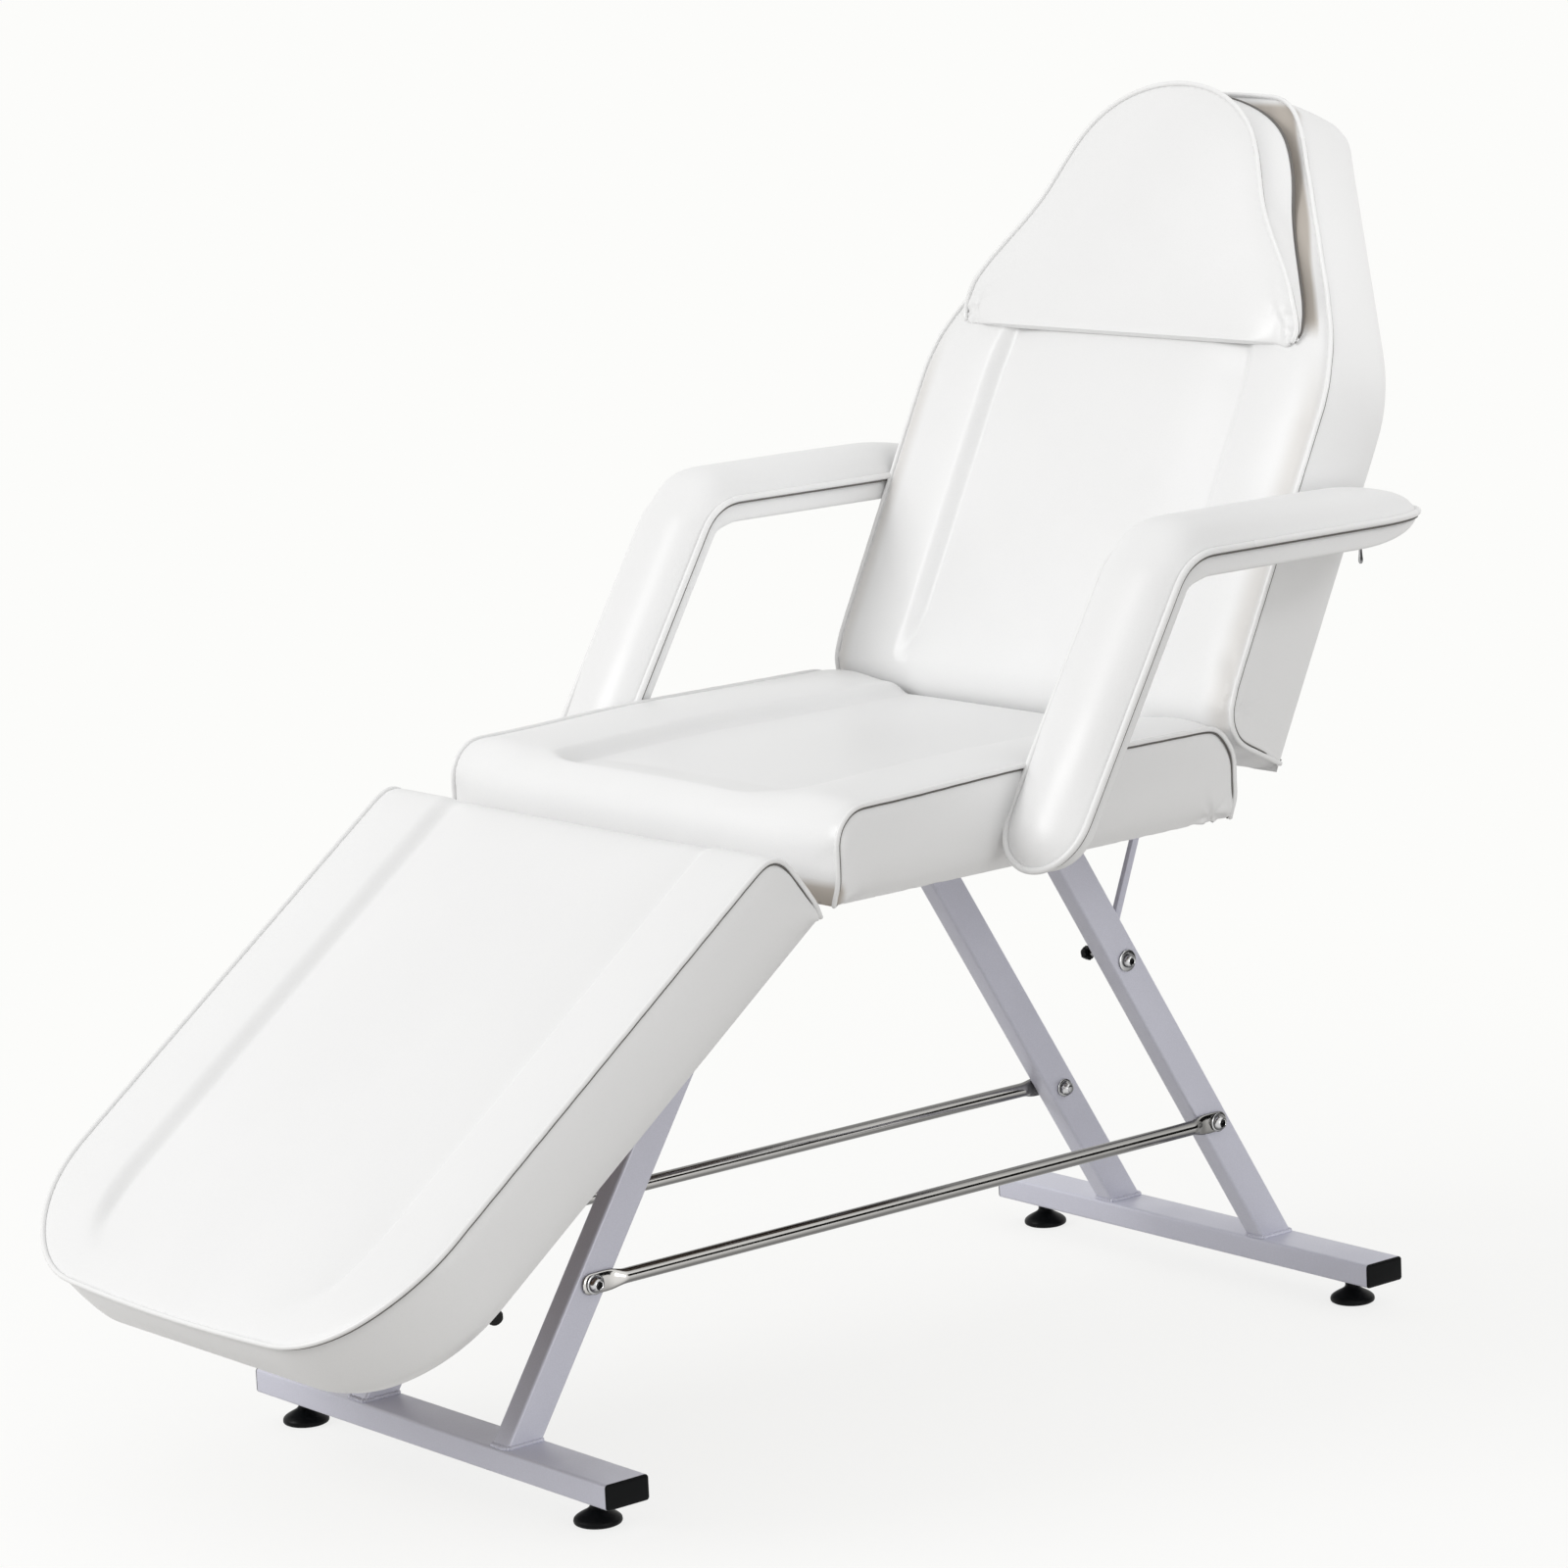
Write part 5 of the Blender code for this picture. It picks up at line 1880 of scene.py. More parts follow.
@dataclass
class ArmPad(Cushion):
    """A padded arm: a leaning front upright that bends into a level rest with a pointed rear end."""

    side: Side = Side.LEFT
    half: float = 0.052
    centre: float = 0.357
    lean: float = 31.1
    foot_z: float = 0.558
    top_z: float = 0.840
    corner_y: float = 0.083
    tip_y: float = 0.427
    bend: float = 0.055
    front_crown: float = 0.019
    top_crown: float = 0.031
    taper: float = 0.090

    def stations(self) -> tuple[Array, Array]:
        """(y, z) spots along the seam plane and the way ahead at each.

        Returns:
            The spots and the ways.
        """
        lean = math.radians(self.lean)
        rise = np.array((math.sin(lean), math.cos(lean)))
        corner = np.array((self.corner_y, self.top_z))
        run = (self.top_z - self.foot_z) / math.cos(lean)
        tangent = self.bend * math.tan((math.pi / 2 - lean) / 2)
        foot = self.half * (1 - np.cos(np.linspace(math.pi / 2 * 0.04, math.pi / 2, 15)))
        spots = [corner - rise * (run - along) for along in
                 np.concatenate((foot, np.linspace(self.half, run - tangent, 20)[1:]))]
        ahead = [rise] * len(spots)
        middle = corner - rise * tangent + np.array((rise[1], -rise[0])) * self.bend
        for angle in np.linspace(math.pi / 2 - lean, 0.0, 13)[1:]:
            way = np.array((math.cos(angle), math.sin(angle)))
            spots.append(middle + np.array((-way[1], way[0])) * self.bend)
            ahead.append(way)
        level = np.linspace(self.corner_y + tangent, self.tip_y - self.taper, 24)[1:]
        tip = self.tip_y - self.taper + self.taper * np.sin(np.linspace(0.0, math.pi / 2 * 0.985, 19)[1:])
        for y in np.concatenate((level, tip)):
            spots.append(np.array((y, self.top_z)))
            ahead.append(np.array((1.0, 0.0)))
        return np.array(spots), np.array(ahead)

    @staticmethod
    def thinning(to_tip: Array) -> Array:
        """How the arm's underside rises to its pointed rear end."""
        return 0.06 + 0.94 * rounding(to_tip, 0.110, 1.0)

    def build_zip(self, row: PathRow, finishes: FinishSet) -> None:
        """The zip along the underside, with its slider.

        Args:
            row: Lays copies along a path.
            finishes: The materials.
        """
        x = self.side.value * self.centre
        y = np.linspace(self.corner_y + 0.050, self.tip_y - 0.066, 40)
        z = self.top_z - 0.0240 * self.thinning(self.tip_y - y) - 0.0004
        path = self.frame.place(np.column_stack((np.full(len(y), x), y, z)))
        tooth = small_bar("zip_tooth", (0.0007, 0.0022, 0.0008), (0.0002, 0.0003), 0.0003, finishes.zip)
        teeth = row.lay(f"arm_zip_teeth_{self.side.word}", [path], tooth, 0.0024, (0.0, 0.0, -1.0), 0.05)
        x, y, z = path[-1]
        rings = [[(x + a, y + 0.004 + b, z + h) for a, b in rounded(half, 0.0046 - inset, 0.0012, steps=3)]
                 for h, half, inset in ZIP_SLIDER]
        slider = loft(f"arm_zip_slider_{self.side.word}", np.array(rings), finishes.zip)
        for obj in (teeth, slider):
            keep(obj, Slot.ZIP, body=self.body.value)

    def build(self, finishes: FinishSet) -> Piece:
        """Makes the arm's cover with its piping.

        Args:
            finishes: The materials.

        Returns:
            The cover.
        """
        spots, ahead = self.stations()
        level = fade(ahead[:, 0], 0.55, 1.0)
        steps = np.linalg.norm(np.diff(spots, axis=0), axis=1)
        from_foot = np.concatenate(([0.0], np.cumsum(steps))) + np.linalg.norm(spots[0] - spots[1]) * 0.1
        to_tip = self.tip_y - np.where(level > 0.5, spots[:, 0], self.corner_y)

        full = rounding(from_foot, self.half, 0.5) * rounding(to_tip, self.taper, 0.42)
        fuller = np.maximum(level, fade(from_foot, 0.04, 0.16))
        crown = self.front_crown + 0.004 * fuller + (self.top_crown - self.front_crown - 0.004) * level
        crown = crown * (1 - 0.7 * level * (1 - level))
        crown = crown * rounding(from_foot, 0.050, 0.8) * rounding(to_tip, 0.105, 0.5)
        depth = (0.017 + 0.007 * level) * (0.1 + 0.9 * rounding(from_foot, 0.030, 0.5))
        depth = depth * self.thinning(to_tip)
        wide = self.half * full
        rim = np.linspace(0.92, 1, 4)
        places = np.concatenate((-rim[::-1], np.linspace(-0.85, 0.85, 19), rim))
        across = wide[:, None] * -places[None]
        power = (2.0 + 0.9 * fuller)[:, None]
        out = crown[:, None] * (1 - np.abs(places)[None] ** power) ** (1 - 0.25 * fuller)[:, None]
        levels = np.array((0.10, 0.28, 0.5, 0.72, 0.9))
        wall = self.half * (0.04 * np.exp(-((levels - 0.12) / 0.12) ** 2) + 0.03 * (1 - levels)) + 0.0012
        left = -wide[:, None] + wall[None] * full[:, None]
        right = wide[:, None] - wall[::-1][None] * full[:, None]
        floor = np.linspace(-0.94, 0.94, 9)
        across = np.hstack((across, left, wide[:, None] * floor[None], right))
        out = np.hstack((out, -depth[:, None] * levels[None], np.tile(-depth[:, None], (1, 9)),
                         -depth[:, None] * levels[::-1][None]))
        up = np.stack((-ahead[:, 1], ahead[:, 0]), axis=1)
        place = spots[:, None] + up[:, None] * out[..., None]
        grid = np.stack((across + self.side.value * self.centre, place[..., 0], place[..., 1]), axis=2)
        count = len(places)
        held = np.zeros(grid.shape[:2])
        held[:, (0, count - 1)] = 1.0
        held[:, count + 5:count + 14] = 1.0
        held[(0, 1, -2, -1), :] = 1.0
        tips = [np.tile(grid[k].mean(axis=0), (1, grid.shape[1], 1)) for k in (0, -1)]
        skin = Skin()
        skin.add(np.concatenate((tips[0], grid, tips[1])), np.vstack((held[:1], held, held[-1:])), wrap=True)
        first, second = grid[:, 0], grid[:, count - 1]
        seam = np.vstack((first, second[::-1]))
        over = np.column_stack((np.zeros(len(up)), up))
        over = np.vstack((over, over[::-1]))
        way = unit(np.roll(seam, -1, axis=0) - np.roll(seam, 1, axis=0))
        outward = unit(np.cross(way, over))
        middle = np.column_stack((np.full(len(seam), self.side.value * self.centre), seam[:, 1:]))
        flip = np.sign(np.sum(outward * (seam - middle), axis=1))
        outward *= np.where(flip == 0, 1, flip)[:, None]
        obj = self.finish_cover(skin, self.frame.place(seam), [], finishes)
        self.sew_welt(self.node + "_piping", self.frame.place(seam), outward, over, finishes, closed=True)
        self.build_pocket(finishes)
        return obj

    def build_pocket(self, finishes: FinishSet) -> None:
        """The rolled rim in the seat's side panel that the arm's strap comes out of, and a dark cord beside
        it painted as the shade in its slit.

        Args:
            finishes: The materials.
        """
        rim = np.array(POCKET_RIM)
        face = np.full(len(rim), self.side.value * 0.3012)
        # The slit is a dark cord: painted shade beside the rolled rim.
        for word, shift, size, finish in (("rim", 0.0, 0.0018, finishes.welt),
                                          ("slit", 0.0034, 0.0016, finishes.seam)):
            path = self.frame.place(np.column_stack((face, rim[:, 0] + shift, rim[:, 1])))
            name = f"arm_pocket_{word}_{self.side.word}"
            self.lay_cord(name, path, size, finish, 10, spacing=0.002, rounds=2)


# Steel base and fittings


# Height along the axis, radius and HEX for each station of the turned fittings.
TIE_BOLT_HEAD = (
    (0.0008, 0.0036, HEX), (0.0072, 0.0040, HEX), (0.0075, 0.0045), (0.0072, 0.0052), (0.0064, 0.0063),
    (0.0048, 0.0074), (0.0030, 0.0080), (0.0016, 0.0081), (0.0016, 0.0096), (0.0013, 0.0100),
    (0.0003, 0.0100), (0.0, 0.0097), (0.0, 0.0040))
TIE_BOLT_NUT = (
    (0.0, 0.0040), (0.0, 0.0093), (-0.0003, 0.0097), (-0.0013, 0.0097), (-0.0016, 0.0093),
    (-0.0016, 0.0080, HEX), (-0.0056, 0.0080, HEX), (-0.0062, 0.0068), (-0.0082, 0.0060), (-0.0096, 0.0042),
    (-0.0100, 0.0020))
PIVOT_HEAD = (
    (0.0012, 0.0032, HEX), (0.0080, 0.0036, HEX), (0.0083, 0.0041), (0.0079, 0.0049), (0.0068, 0.0060),
    (0.0048, 0.0069), (0.0020, 0.0071), (0.0020, 0.0106), (0.0016, 0.0112), (0.0003, 0.0112), (0.0, 0.0108),
    (0.0, 0.0030))
PIVOT_TIP = ((0.0625, 0.0030), (0.0620, 0.0026))
PIVOT_NUT = (
    (0.0670, 0.0034), (0.0670, 0.0066), (0.0674, 0.0075, HEX), (0.0734, 0.0075, HEX), (0.0740, 0.0066),
    (0.0740, 0.0034))
FOOT_BELL = (
    (0.0, 0.0195), (0.0003, 0.0205), (0.0012, 0.0222), (0.0022, 0.0229), (0.0034, 0.0231), (0.0050, 0.0229),
    (0.0062, 0.0224), (0.0078, 0.0208), (0.0096, 0.0182), (0.0112, 0.0154), (0.0128, 0.0124),
    (0.0142, 0.0100), (0.0156, 0.0083), (0.0168, 0.0075), (0.0180, 0.0075, HEX))
FOOT_COLLAR = ((-0.0010, 0.0075, HEX), (-0.0004, 0.0068), (-0.0004, 0.0046))
WELD_DROP = ((-0.0016, 0.0009), (-0.0010, 0.0022), (0.0, 0.0027), (0.0010, 0.0022), (0.0016, 0.0009))
PAN_HEAD = ((-0.0002, 0.0040), (0.0006, 0.0041), (0.0015, 0.0035), (0.0021, 0.0020), (0.0014, 0.0014, HEX))

# Distance in from the bolt, half height and half thickness of a tie rod's flattened end.
ROD_END = (
    (-0.0130, 0.0016, 0.0008), (-0.0126, 0.0040, 0.0015), (-0.0112, 0.0068, 0.0019),
    (-0.0085, 0.0090, 0.0020), (-0.005, 0.0102, 0.0020), (0.008, 0.0105, 0.0020), (0.016, 0.0105, 0.0020),
    (0.021, 0.0102, 0.0024), (0.025, 0.0096, 0.0034), (0.029, 0.0087, 0.0052), (0.032, 0.0080, 0.0067),
    (0.035, 0.0076, 0.0074))

# Share of its drop, half width and half thickness along a zip pull.
ZIP_PULL = (
    (0.0, 0.0010, 0.0006), (0.03, 0.0014, 0.0009), (0.30, 0.0015, 0.0009), (0.62, 0.0021, 0.0009),
    (0.82, 0.0027, 0.0010), (0.93, 0.0024, 0.0009), (1.0, 0.0012, 0.0005))


@dataclass
class Fittings:
    """What the base and the hardware share: the finishes, the frame's nodes and the row maker."""

    finishes: FinishSet
    nodes: dict[str, Piece]
    row: PathRow

    def ease(self, node: str, word: str, width: float, material: Material, slot: Slot,
             body: str = Body.BASE.value) -> None:
        """Sets a copy of a node's solid, with its edges eased by a width, in its place."""
        keep(softened(self.nodes[node], f"{node}_{word}", width, material), slot, node, body=body)


@dataclass
class SteelBase(Fittings):
    """The welded legs and bars, with feet, caps, tie rods and bolts."""

    bar_length: float = 0.566
    bar_depth: float = 0.050
    bar_height: float = 0.025
    bar_bottom: float = 0.027
    bar_y: dict[str, float] = field(default_factory=lambda: {"front": -0.547, "rear": 0.443})
    lean: dict[str, float] = field(default_factory=lambda: {"front": 32.7, "rear": -31.3})
    leg_centre: float = 0.116
    leg_width: float = 0.025
    leg_depth: float = 0.036
    rail_top: float = 0.5512
    rail_height: float = 0.030
    rail_slant: float = 0.010
    wall: float = 0.002
    tie_z: float = 0.191
    pivot_z: float = 0.382
    tie_radius: float = 0.0075
    foot_x: float = 0.237
    corner: float = 0.0034
    gap: float = 0.0003

    @property
    def bar_top(self) -> float:
        """Height of the foot bars' upper faces."""
        return self.bar_bottom + self.bar_height

    @property
    def leg_outer(self) -> float:
        """X of a leg's outer face."""
        return self.leg_centre + self.leg_width / 2

    def leg_y(self, end: str, z: float) -> float:
        """Where a leg's centre line stands at a height, in the bed's frame."""
        return PLAN_SHIFT + self.bar_y[end] + math.tan(math.radians(self.lean[end])) * (z - self.bar_top)

    def box_tube(self, name: str, along_x: bool, centre: tuple[float, float], size: tuple[float, float],
                 low: float, high: float) -> Piece:
        """A rectangular tube along X or Y.

        Args:
            name: The piece's name.
            along_x: True for a tube along X, False along Y.
            centre: Its place in plan across its length, and its height.
            size: Its width and height.
            low: Where it starts.
            high: Where it ends.

        Returns:
            The piece.
        """
        outer = rounded(size[0] / 2, size[1] / 2, self.corner)
        inner = rounded(size[0] / 2 - self.wall, size[1] / 2 - self.wall, self.corner - 0.0016)
        order = ((outer, low), (outer, high), (inner, high), (inner, low))
        rings = np.array([[(at, centre[0] + a, centre[1] + b) for a, b in loop] for loop, at in order])
        rings = rings if along_x else rings[..., (1, 0, 2)]
        return loft(name, rings, self.finishes.steel, ring_closed=True)

    def leg_section(self, end: str, side: Side, z: float, inset: float = 0.0) -> Array:
        """A leg's level section at a height.

        Args:
            end: The front or the rear pair.
            side: The side of the bed.
            z: The height.
            inset: How far inside the tube's skin.

        Returns:
            The section's points.
        """
        stretch = math.cos(math.radians(self.lean[end]))
        depth = (self.leg_depth / 2 - inset) / stretch
        loop = rounded(self.leg_width / 2 - inset, depth, self.corner - inset * 0.8)
        x = side.value * self.leg_centre + loop[:, 0]
        return np.column_stack((x, self.leg_y(end, z) + loop[:, 1], np.full(len(loop), z)))

    def build(self) -> None:
        """Builds everything that stands under the seat."""
        self.build_bars()
        self.build_legs()
        self.build_rails()
        self.build_ties()
        self.build_pivots()
        self.build_feet()

    def build_bars(self) -> None:
        """The two foot bars with their end caps."""
        middle = self.bar_bottom + self.bar_height / 2
        half = self.bar_length / 2
        plug = self.wall + self.gap
        steps = ((0.0026, 0.0026), (0.0012, 0.0024), (0.0003, 0.0016), (0.0, 0.0007), (0.0, self.gap),
                 (plug, self.gap), (plug, -0.010))
        for end, bar_y in self.bar_y.items():
            y = PLAN_SHIFT + bar_y
            size = (self.bar_depth, self.bar_height)
            bar = self.box_tube(f"{end}_bar_tube", True, (y, middle), size, -half, half)
            keep(bar, Slot.STEEL, f"{end}_foot_bar")
            for side in Side:
                rings = []
                for inset, x in steps:
                    loop = rounded(self.bar_depth / 2 - inset, self.bar_height / 2 - inset,
                                   max(0.0012, self.corner - inset))
                    rings.append([(side.value * (half + x), y + a, middle + b) for a, b in loop])
                cap = loft(f"{end}_bar_plug_{side.word}", np.array(rings), self.finishes.black)
                keep(cap, Slot.BLACK, f"{end}_bar_cap_{side.word}")

    def build_legs(self) -> None:
        """The four sloping legs with weld beads at both ends."""
        bead = turned("weld_drop", WELD_DROP, self.finishes.steel, lambda points: points[..., (2, 0, 1)], 12)
        runs = []
        low, high = self.bar_top + self.gap, self.rail_top - self.rail_height - self.gap
        for end in self.bar_y:
            for side in Side:
                rings = [self.leg_section(end, side, z, inset)
                         for z, inset in ((low, 0.0), (high, 0.0), (high, self.wall), (low, self.wall))]
                name = f"{end}_leg_tube_{side.word}"
                leg = loft(name, np.array(rings), self.finishes.steel, ring_closed=True)
                keep(leg, Slot.STEEL, f"{end}_leg_{side.word}")
                for z in (low + 0.0006, high - 0.0006):
                    loop = self.leg_section(end, side, z)
                    runs.append(np.vstack((loop, loop[:1])))
        keep(self.row.lay("leg_weld_beads", runs, bead, 0.0019, (0.0, 0.0, 1.0), 0.14), Slot.STEEL)

    def build_rails(self) -> None:
        """The seat frame: rails, cross tubes, lugs, straps, screws and hinge rods."""
        middle = self.rail_top - self.rail_height / 2
        for side in Side:
            low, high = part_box(f"seat_rail_{side.word}")
            rail = self.box_tube(f"seat_rail_tube_{side.word}", False, (side.value * self.leg_centre, middle),
                                 (self.leg_width, self.rail_height), low.y, high.y)
            points = coordinates(rail.data)
            slant = np.maximum(0.0, points[:, 2] - self.rail_top + self.rail_slant)
            points[:, 1] = np.maximum(points[:, 1], low.y + slant)
            set_coordinates(rail.data, points)
            keep(rail, Slot.STEEL, f"seat_rail_{side.word}")
            self.ease(f"backrest_lug_{side.word}", "plate", 0.0007, self.finishes.steel, Slot.STEEL)
            self.build_strap(f"arm_strap_{side.word}", side)
        head = turned("pan_head_screw", PAN_HEAD, self.finishes.zinc, lambda points: points, 12)
        runs = [np.array([(side.value * self.leg_centre, PLAN_SHIFT + y, self.rail_top - self.rail_height)
                          for y in (-0.200, 0.120)]) for side in Side]
        keep(self.row.lay("rail_screws", runs, head, 0.1066, (0.0, 0.0, -1.0)), Slot.ZINC)
        for end in self.bar_y:
            low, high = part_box(f"seat_cross_tube_{end}")
            cross = self.box_tube(f"seat_cross_member_{end}", True, ((low.y + high.y) / 2, middle),
                                  (self.leg_width, self.leg_width), -high.x, high.x)
            keep(cross, Slot.STEEL, f"seat_cross_tube_{end}")
        ease = 0.0012
        for name in ("legrest_hinge_rod", "backrest_hinge_rod"):
            low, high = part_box(name)
            half, r = high.x, (high.z - low.z) / 2
            stations = ((-half, r - ease), (ease - half, r), (half - ease, r), (half, r - ease))
            spot = ((low.y + high.y) / 2, (low.z + high.z) / 2)
            rod = turned(name.replace("rod", "pin"), stations, self.finishes.zinc, to_x_axis(spot, 1), 36)
            keep(rod, Slot.ZINC, name)

    def build_strap(self, node: str, side: Side) -> None:
        """A flat strap bent up from under the seat to carry an arm.

        Args:
            node: The solid that it stands for.
            side: The side of the bed.
        """
        low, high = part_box(node)
        reach = sorted((abs(low.x), abs(high.x)))
        thick, bend, half = 0.0034, 0.0105, 0.0065
        level, upright = low.z + 0.0048 - thick / 2, reach[1] - thick / 2
        line = [(x, level, 0.0) for x in np.linspace(reach[0], upright - bend, 6)]
        line += [(upright - bend + bend * math.sin(a), level + bend - bend * math.cos(a), a)
                 for a in np.linspace(0, math.pi / 2, 8)[1:]]
        line += [(upright, z, math.pi / 2) for z in np.linspace(level + bend, high.z, 5)[1:]]
        loop = rounded(half, thick / 2, 0.0012, steps=3)
        rings = [[(side.value * (x - t * math.sin(a)), high.y - half + w, z + t * math.cos(a))
                  for w, t in loop] for x, z, a in line]
        keep(loft(node + "_bent", np.array(rings), self.finishes.steel), Slot.STEEL, node)

    def build_ties(self) -> None:
        """The chrome tie rods with flattened ends, and the bolts that hold them."""
        flat = 0.004
        axis = self.leg_outer + self.gap + flat / 2
        first, last = self.leg_y("front", self.tie_z), self.leg_y("rear", self.tie_z)
        profile = (*ROD_END, (0.038, self.tie_radius, self.tie_radius))
        stations = [(first + y, *size) for y, *size in profile]
        stations += [(last - y, *size) for y, *size in profile[::-1]]
        turns = np.linspace(0, 2 * np.pi, 32, endpoint=False)
        for side in Side:
            rings = [[(side.value * (axis + thick * math.cos(a)), y, self.tie_z + tall * math.sin(a))
                      for a in turns] for y, tall, thick in stations]
            rod = loft(f"tie_rod_chrome_{side.word}", np.array(rings), self.finishes.chrome, crisp=55.0)
            keep(rod, Slot.CHROME, f"tie_rod_{side.word}")
            for end, y in (("front", first), ("rear", last)):
                self.build_tie_bolt(f"tie_bolt_{end}_{side.word}", side, y, axis + flat / 2 + self.gap)

    def build_tie_bolt(self, node: str, side: Side, y: float, face: float) -> None:
        """A domed socket bolt on a washer, with its nut on the leg's inner face.

        Args:
            node: The solid that it stands for.
            side: The side of the bed.
            y: Its place along the bed.
            face: Where its washer sits across the bed.
        """
        inner = self.leg_centre - self.leg_width / 2 - self.gap
        stations = shifted(TIE_BOLT_HEAD, face) + shifted(TIE_BOLT_NUT, inner)
        bolt = turned(node + "_socket", stations, self.finishes.zinc, to_x_axis((y, self.tie_z), side.value))
        keep(bolt, Slot.ZINC, node)

    def build_pivots(self) -> None:
        """The bolts that the props swing on, with black nuts on their inner ends."""
        for end in self.bar_y:
            place = to_x_axis((self.leg_y(end, self.pivot_z), self.pivot_z), 1)
            stations = (*shifted(PIVOT_HEAD, self.leg_outer + self.gap), *PIVOT_TIP)
            bolt = turned(f"pivot_bolt_socket_{end}", stations, self.finishes.zinc, place)
            keep(bolt, Slot.ZINC, f"pivot_bolt_{end}")
            nut = turned(f"pivot_nut_hex_{end}", PIVOT_NUT, self.finishes.black, place, hollow=True)
            keep(nut, Slot.BLACK, f"pivot_nut_{end}")

    def build_feet(self) -> None:
        """The bell-shaped levelling feet on their threaded stems."""
        low, high, threads = self.bar_bottom, self.bar_top, 12
        stations = [*FOOT_BELL, *shifted(FOOT_COLLAR, low)]
        for k in range(threads):
            z = low + (high - low - 0.005) * k / threads
            stations += [(z, 0.0044), (z + 0.0008, 0.0050)]
        stations.append((high - self.wall - 0.002, 0.0042))
        for end, bar_y in self.bar_y.items():
            for side in Side:
                node = f"levelling_foot_{end}_{side.word}"
                place = to_z_axis(side.value * self.foot_x, PLAN_SHIFT + bar_y)
                foot = turned(node + "_bell", stations, self.finishes.black, place)
                keep(foot, Slot.BLACK, node, body=node)


@dataclass
class Hardware(Fittings):
    """Flat pressed parts, boards and trim that ride on the moving cushions."""

    def build(self) -> None:
        """Builds the hinge arms, racks, props, boards, stops, zip pulls and the pillow's flap."""
        made = self.finishes
        for part in ("legrest", "backrest"):
            for side in Side:
                self.ease(f"{part}_hinge_arm_{side.word}", "plate", 0.0007, made.steel, Slot.STEEL, part)
            self.ease(f"{part}_rack", "teeth", 0.0006, made.steel, Slot.STEEL, part)
            self.ease(f"{part}_prop", "bar", 0.0008, made.steel, Slot.STEEL, f"{part}_prop")
        for part, body in (("legrest", "legrest"), ("backrest", "backrest"), ("seat", "base")):
            self.ease(f"{part}_board", "panel", 0.001, made.plywood, Slot.PLYWOOD, body)
        for side in Side:
            self.ease(f"legrest_bumper_{side.word}", "stop", 0.0012, made.rubber, Slot.RUBBER, "legrest")
            self.build_pull(f"zip_pull_{side.word}")
        self.ease("pillow_hinge_flap", "strip", 0.0008, made.leather, Slot.LEATHER, "backrest")

    def build_pull(self, node: str) -> None:
        """A drop-shaped zip pull that hangs from its slider.

        Args:
            node: The solid that it stands for.
        """
        low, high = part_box(node)
        x, y = (low.x + high.x) / 2, (low.y + high.y) / 2
        rings = []
        for share, half, thick in ZIP_PULL:
            z = high.z + (low.z - 0.003 - high.z) * share
            loop = rounded(half, thick, min(half, thick) * 0.7, steps=3)
            rings.append([(x + b, y + a, z) for a, b in loop])
        keep(loft(node + "_tab", np.array(rings), self.finishes.zip), Slot.ZIP, node, body=node)


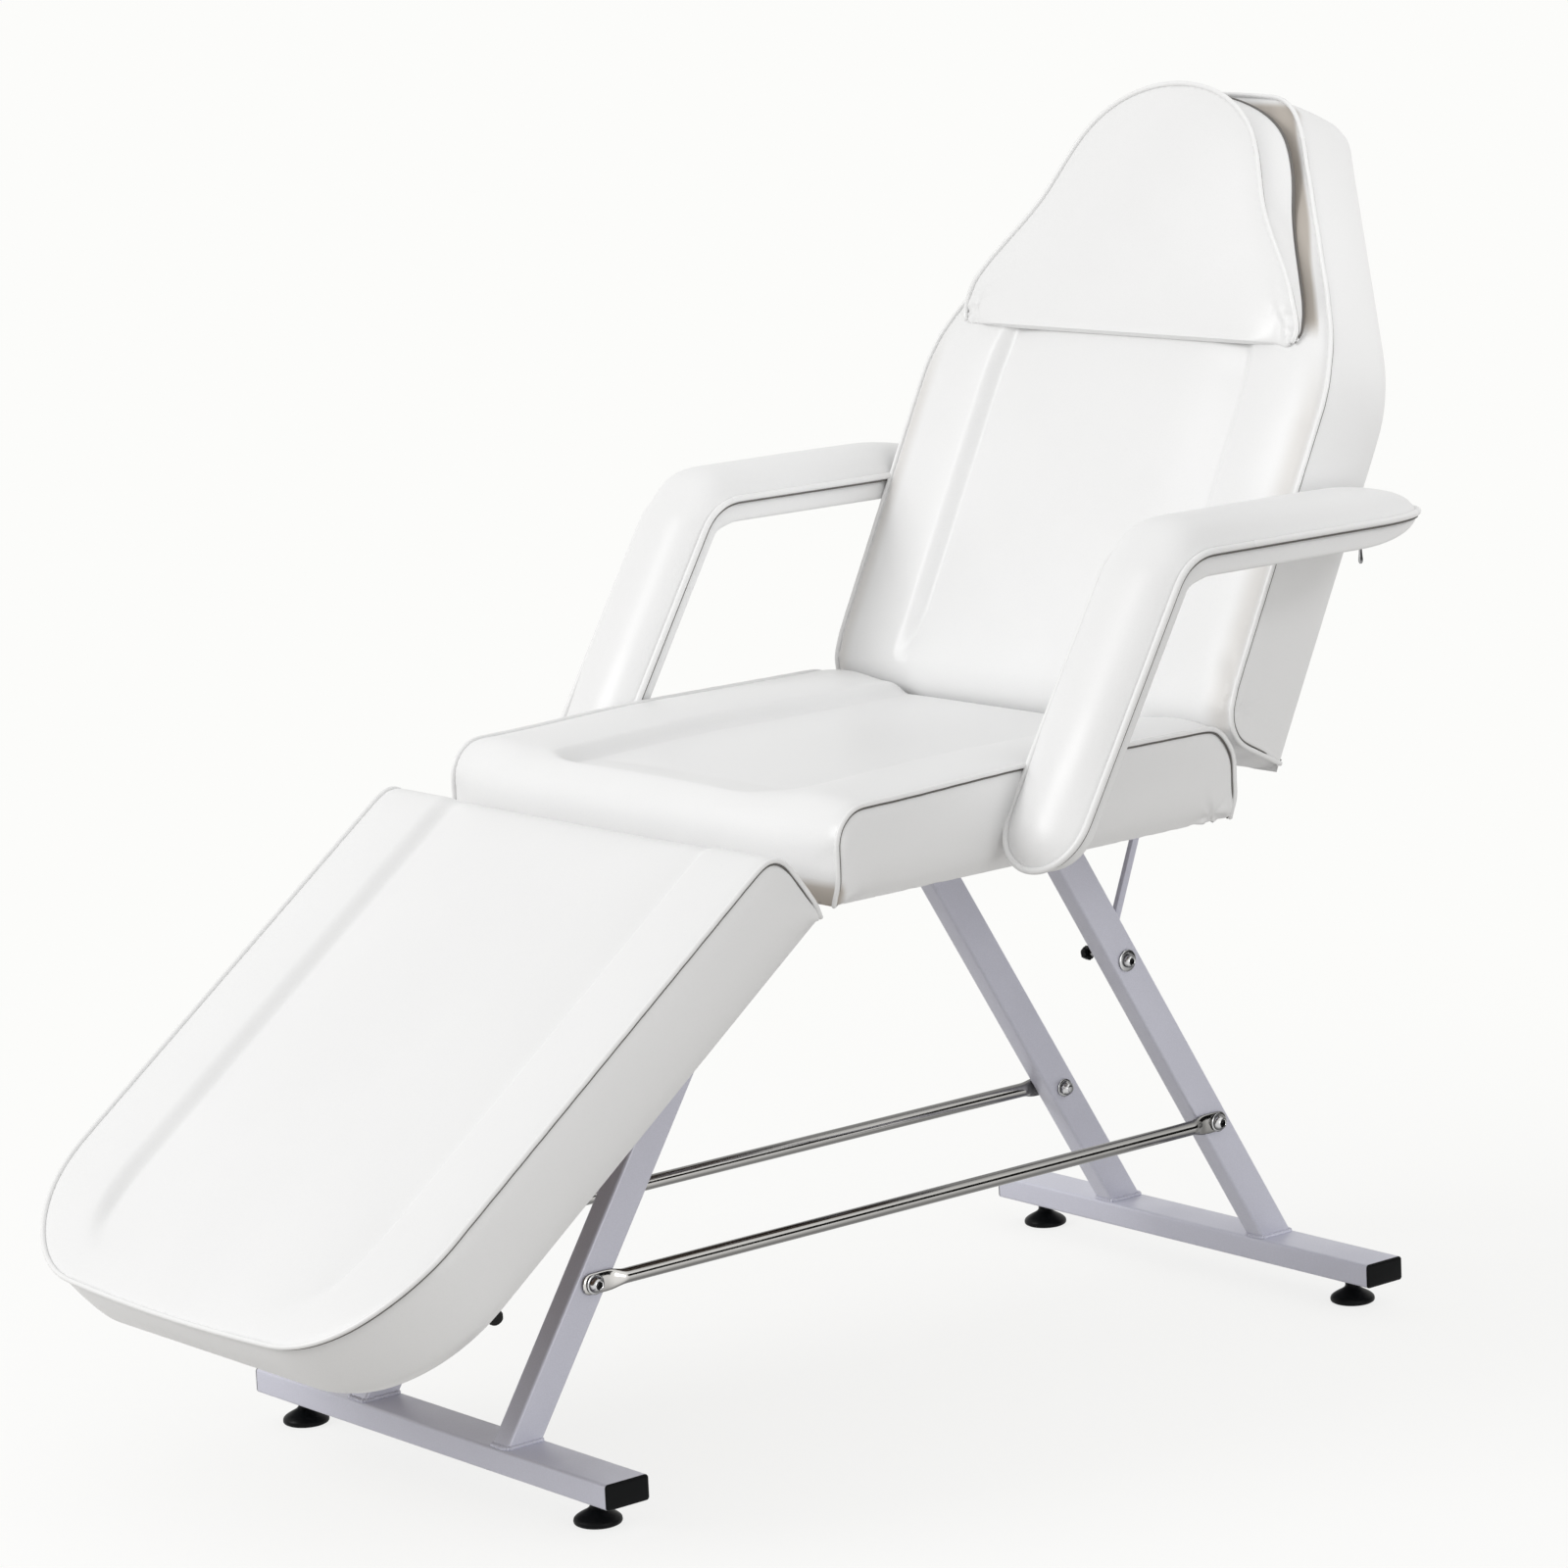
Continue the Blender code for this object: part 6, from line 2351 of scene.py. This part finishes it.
@dataclass
class Studio:
    """A pale floor, soft light and the camera."""

    azimuth: float = 50.92
    elevation: float = 10.34
    roll: float = -2.73
    distance: float = 5.644
    target: Point = (-0.112, 0.127, 0.575)
    lens: float = 127.33
    sensor: float = 36.0
    floor_half: float = 30.0
    white: tuple[float, float, float, float] = (0.974, 0.974, 0.958, 1.0)

    def build(self) -> None:
        """Sets up the floor, the lights and the camera."""
        self.floor()
        self.light()
        self.card()
        self.camera()

    @staticmethod
    def panel(name: str, corners: Sequence[Point], finish: str) -> tuple[Piece, NodeTree]:
        """A flat panel of the set.

        Args:
            name: The panel's name.
            corners: Its four corners in order.
            finish: The name of its material, which starts with no nodes.

        Returns:
            The panel and its material's tree.
        """
        mesh = bpy.data.meshes.new(name)
        mesh.from_pydata(corners, [], [(0, 1, 2, 3)])
        material = bpy.data.materials.new(finish)
        material.use_nodes = True
        material.node_tree.nodes.clear()
        obj = new_object(name, mesh, material)
        return obj, NodeTree(material.node_tree)

    def floor(self) -> None:
        """A pale floor that shows as near white to the camera and keeps a soft shadow."""
        size = self.floor_half
        corners = [(-size, -size, 0), (size, -size, 0), (size, size, 0), (-size, size, 0)]
        _, made = self.panel("studio_floor", corners, "pale_floor")
        matt = made.run("ShaderNodeBsdfDiffuse", None, (0.20, 0.20, 0.198, 1.0))
        glow = made.run("ShaderNodeEmission", None, (1.0, 1.0, 0.99, 1.0), 0.79)
        near = made.run("ShaderNodeAddShader", None, matt, glow)
        far = made.run("ShaderNodeEmission", None, self.white, 1.0)
        bounce = made.run("ShaderNodeBsdfDiffuse", None, (0.55, 0.54, 0.525, 1.0))
        where = made.add("ShaderNodeTexCoord").outputs["Object"]
        reach = made.add("ShaderNodeVectorMath", {"operation": "LENGTH"}, Vector=where).outputs["Value"]
        shown = made.run("ShaderNodeMixShader", None, made.ramp(reach, 0.7, 2.2), near, far)
        both = made.run("ShaderNodeMixShader", None, made.seen(), bounce, shown)
        made.add("ShaderNodeOutputMaterial", Surface=both)

    def light(self) -> None:
        """An even surround, a large front light, a low fill and a soft high side light."""
        world = bpy.data.worlds.new("studio_surround")
        bpy.context.scene.world = world
        world.use_nodes = True
        made = NodeTree(world.node_tree)
        made.tree.nodes.clear()
        even = made.run("ShaderNodeBackground", None, (1.0, 0.995, 0.99, 1.0), 0.70)
        shown = made.run("ShaderNodeBackground", None, self.white, 1.0)
        both = made.run("ShaderNodeMixShader", None, made.seen(), even, shown)
        made.add("ShaderNodeOutputWorld", Surface=both)
        self.lamp("front_softbox", "AREA", (-2.6, -6.0, 4.0), (0.0, 0.1, 0.65), energy=216.0, size=3.2)
        self.lamp("low_fill", "AREA", (5.0, -0.4, 0.5), (0.2, 0.1, 0.40), energy=42.0, size=2.0)
        self.lamp("side_softbox", "SPOT", (1.5, 0.9, 1.75), (0.22, 0.62, 1.12), energy=26.0,
                  shadow_soft_size=0.3, spot_size=math.radians(38), spot_blend=0.9)

    def card(self) -> None:
        """A tall dark card beside the set that only bright metal mirrors, to draw a line along the rods."""
        corners = [(1.2, 3.4, 0.02), (3.6, 1.4, 0.02), (3.6, 1.4, 1.50), (1.2, 3.4, 1.50)]
        obj, made = self.panel("dark_card", corners, "dark_card_black")
        matt = made.run("ShaderNodeBsdfDiffuse", None, (0.01, 0.01, 0.01, 1.0))
        made.add("ShaderNodeOutputMaterial", Surface=matt)
        obj.visible_camera = obj.visible_diffuse = obj.visible_shadow = obj.visible_transmission = False

    @staticmethod
    def lamp(name: str, kind: str, place: Point, spot: Point, **settings: float) -> None:
        """Sets up a lamp.

        Args:
            name: The lamp's name.
            kind: The lamp's type name.
            place: Where it stands.
            spot: The spot on the bed that it is turned to.
            settings: Its strength and size.
        """
        data = bpy.data.lights.new(name, kind)
        for key, value in settings.items():
            setattr(data, key, value)
        lamp = new_object(name, data)
        lamp.location = place
        lamp.rotation_euler = (Vector(spot) - Vector(place)).to_track_quat("-Z", "Y").to_euler()

    def camera(self) -> None:
        """A long lens at the photograph's viewing angle."""
        az, el, roll = map(math.radians, (self.azimuth, self.elevation, self.roll))
        back = Vector((math.sin(az) * math.cos(el), -math.cos(az) * math.cos(el), math.sin(el)))
        right = Vector((math.cos(az), math.sin(az), 0.0))
        up = back.cross(right)
        across = right * math.cos(roll) + up * math.sin(roll)
        tall = up * math.cos(roll) - right * math.sin(roll)
        data = bpy.data.cameras.new("studio_camera")
        data.sensor_width = self.sensor
        data.lens = self.lens
        camera = new_object(data.name, data)
        turn = Matrix((across, tall, back)).transposed().to_4x4()
        camera.matrix_world = Matrix.Translation(Vector(self.target) + back * self.distance) @ turn
        bpy.context.scene.camera = camera


def main() -> None:
    """Loads the frame, dresses it and sets up the studio."""
    logging.basicConfig(level=logging.INFO, format="%(name)s %(message)s")
    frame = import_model()
    scene = bpy.context.scene
    scene.view_settings.view_transform = "Standard"
    finishes = FinishSet.make()
    row = PathRow()
    legrest = JointFrame((0.0, -0.150995, 0.5362), 37.1)
    backrest = JointFrame((0.0, 0.379505, 0.592), 63.6)
    pillow = JointFrame((0.0, 0.52367, 1.001617), 67.6)
    sections = (
        LegRest(legrest, Body.LEGREST, "legrest_cushion", start=0.0090, end=0.6340, top=0.0985, floor=0.0108,
                forward=-1, round_start=0.020, corner=0.134, crease_at=0.68),
        Seat(LEVEL, Body.BASE, "seat_cushion", start=-0.278, end=0.238, top=0.6385, floor=0.5515,
             round_start=0.036, round_end=0.032, crease_at=0.60, lip_start=0.0055, lip_end=0.0015, step=0.014,
             most=0.005),
        Backrest(backrest, Body.BACKREST, "backrest_cushion", start=0.016, end=0.702, top=0.0510,
                 floor=-0.044, round_start=0.040, corner=0.055, crease_at=0.63, edge_drop=0.0100,
                 edge_roll=0.034, foot_inset=0.003, most=0.005))
    for section in sections:
        section.build(finishes)
        section.staple(row, finishes)
    HeadPillow(pillow, Body.PILLOW, "head_pillow", most=0.006).build(finishes)
    for side in Side:
        arm = ArmPad(LEVEL, Body.BASE, f"arm_pad_{side.word}", most=0.003, welt_radius=0.0034, side=side)
        arm.build(finishes)
        arm.build_zip(row, finishes)
    SteelBase(finishes, frame["nodes"], row).build()
    Hardware(finishes, frame["nodes"], row).build()
    Studio().build()


if __name__ == "__main__":
    main()
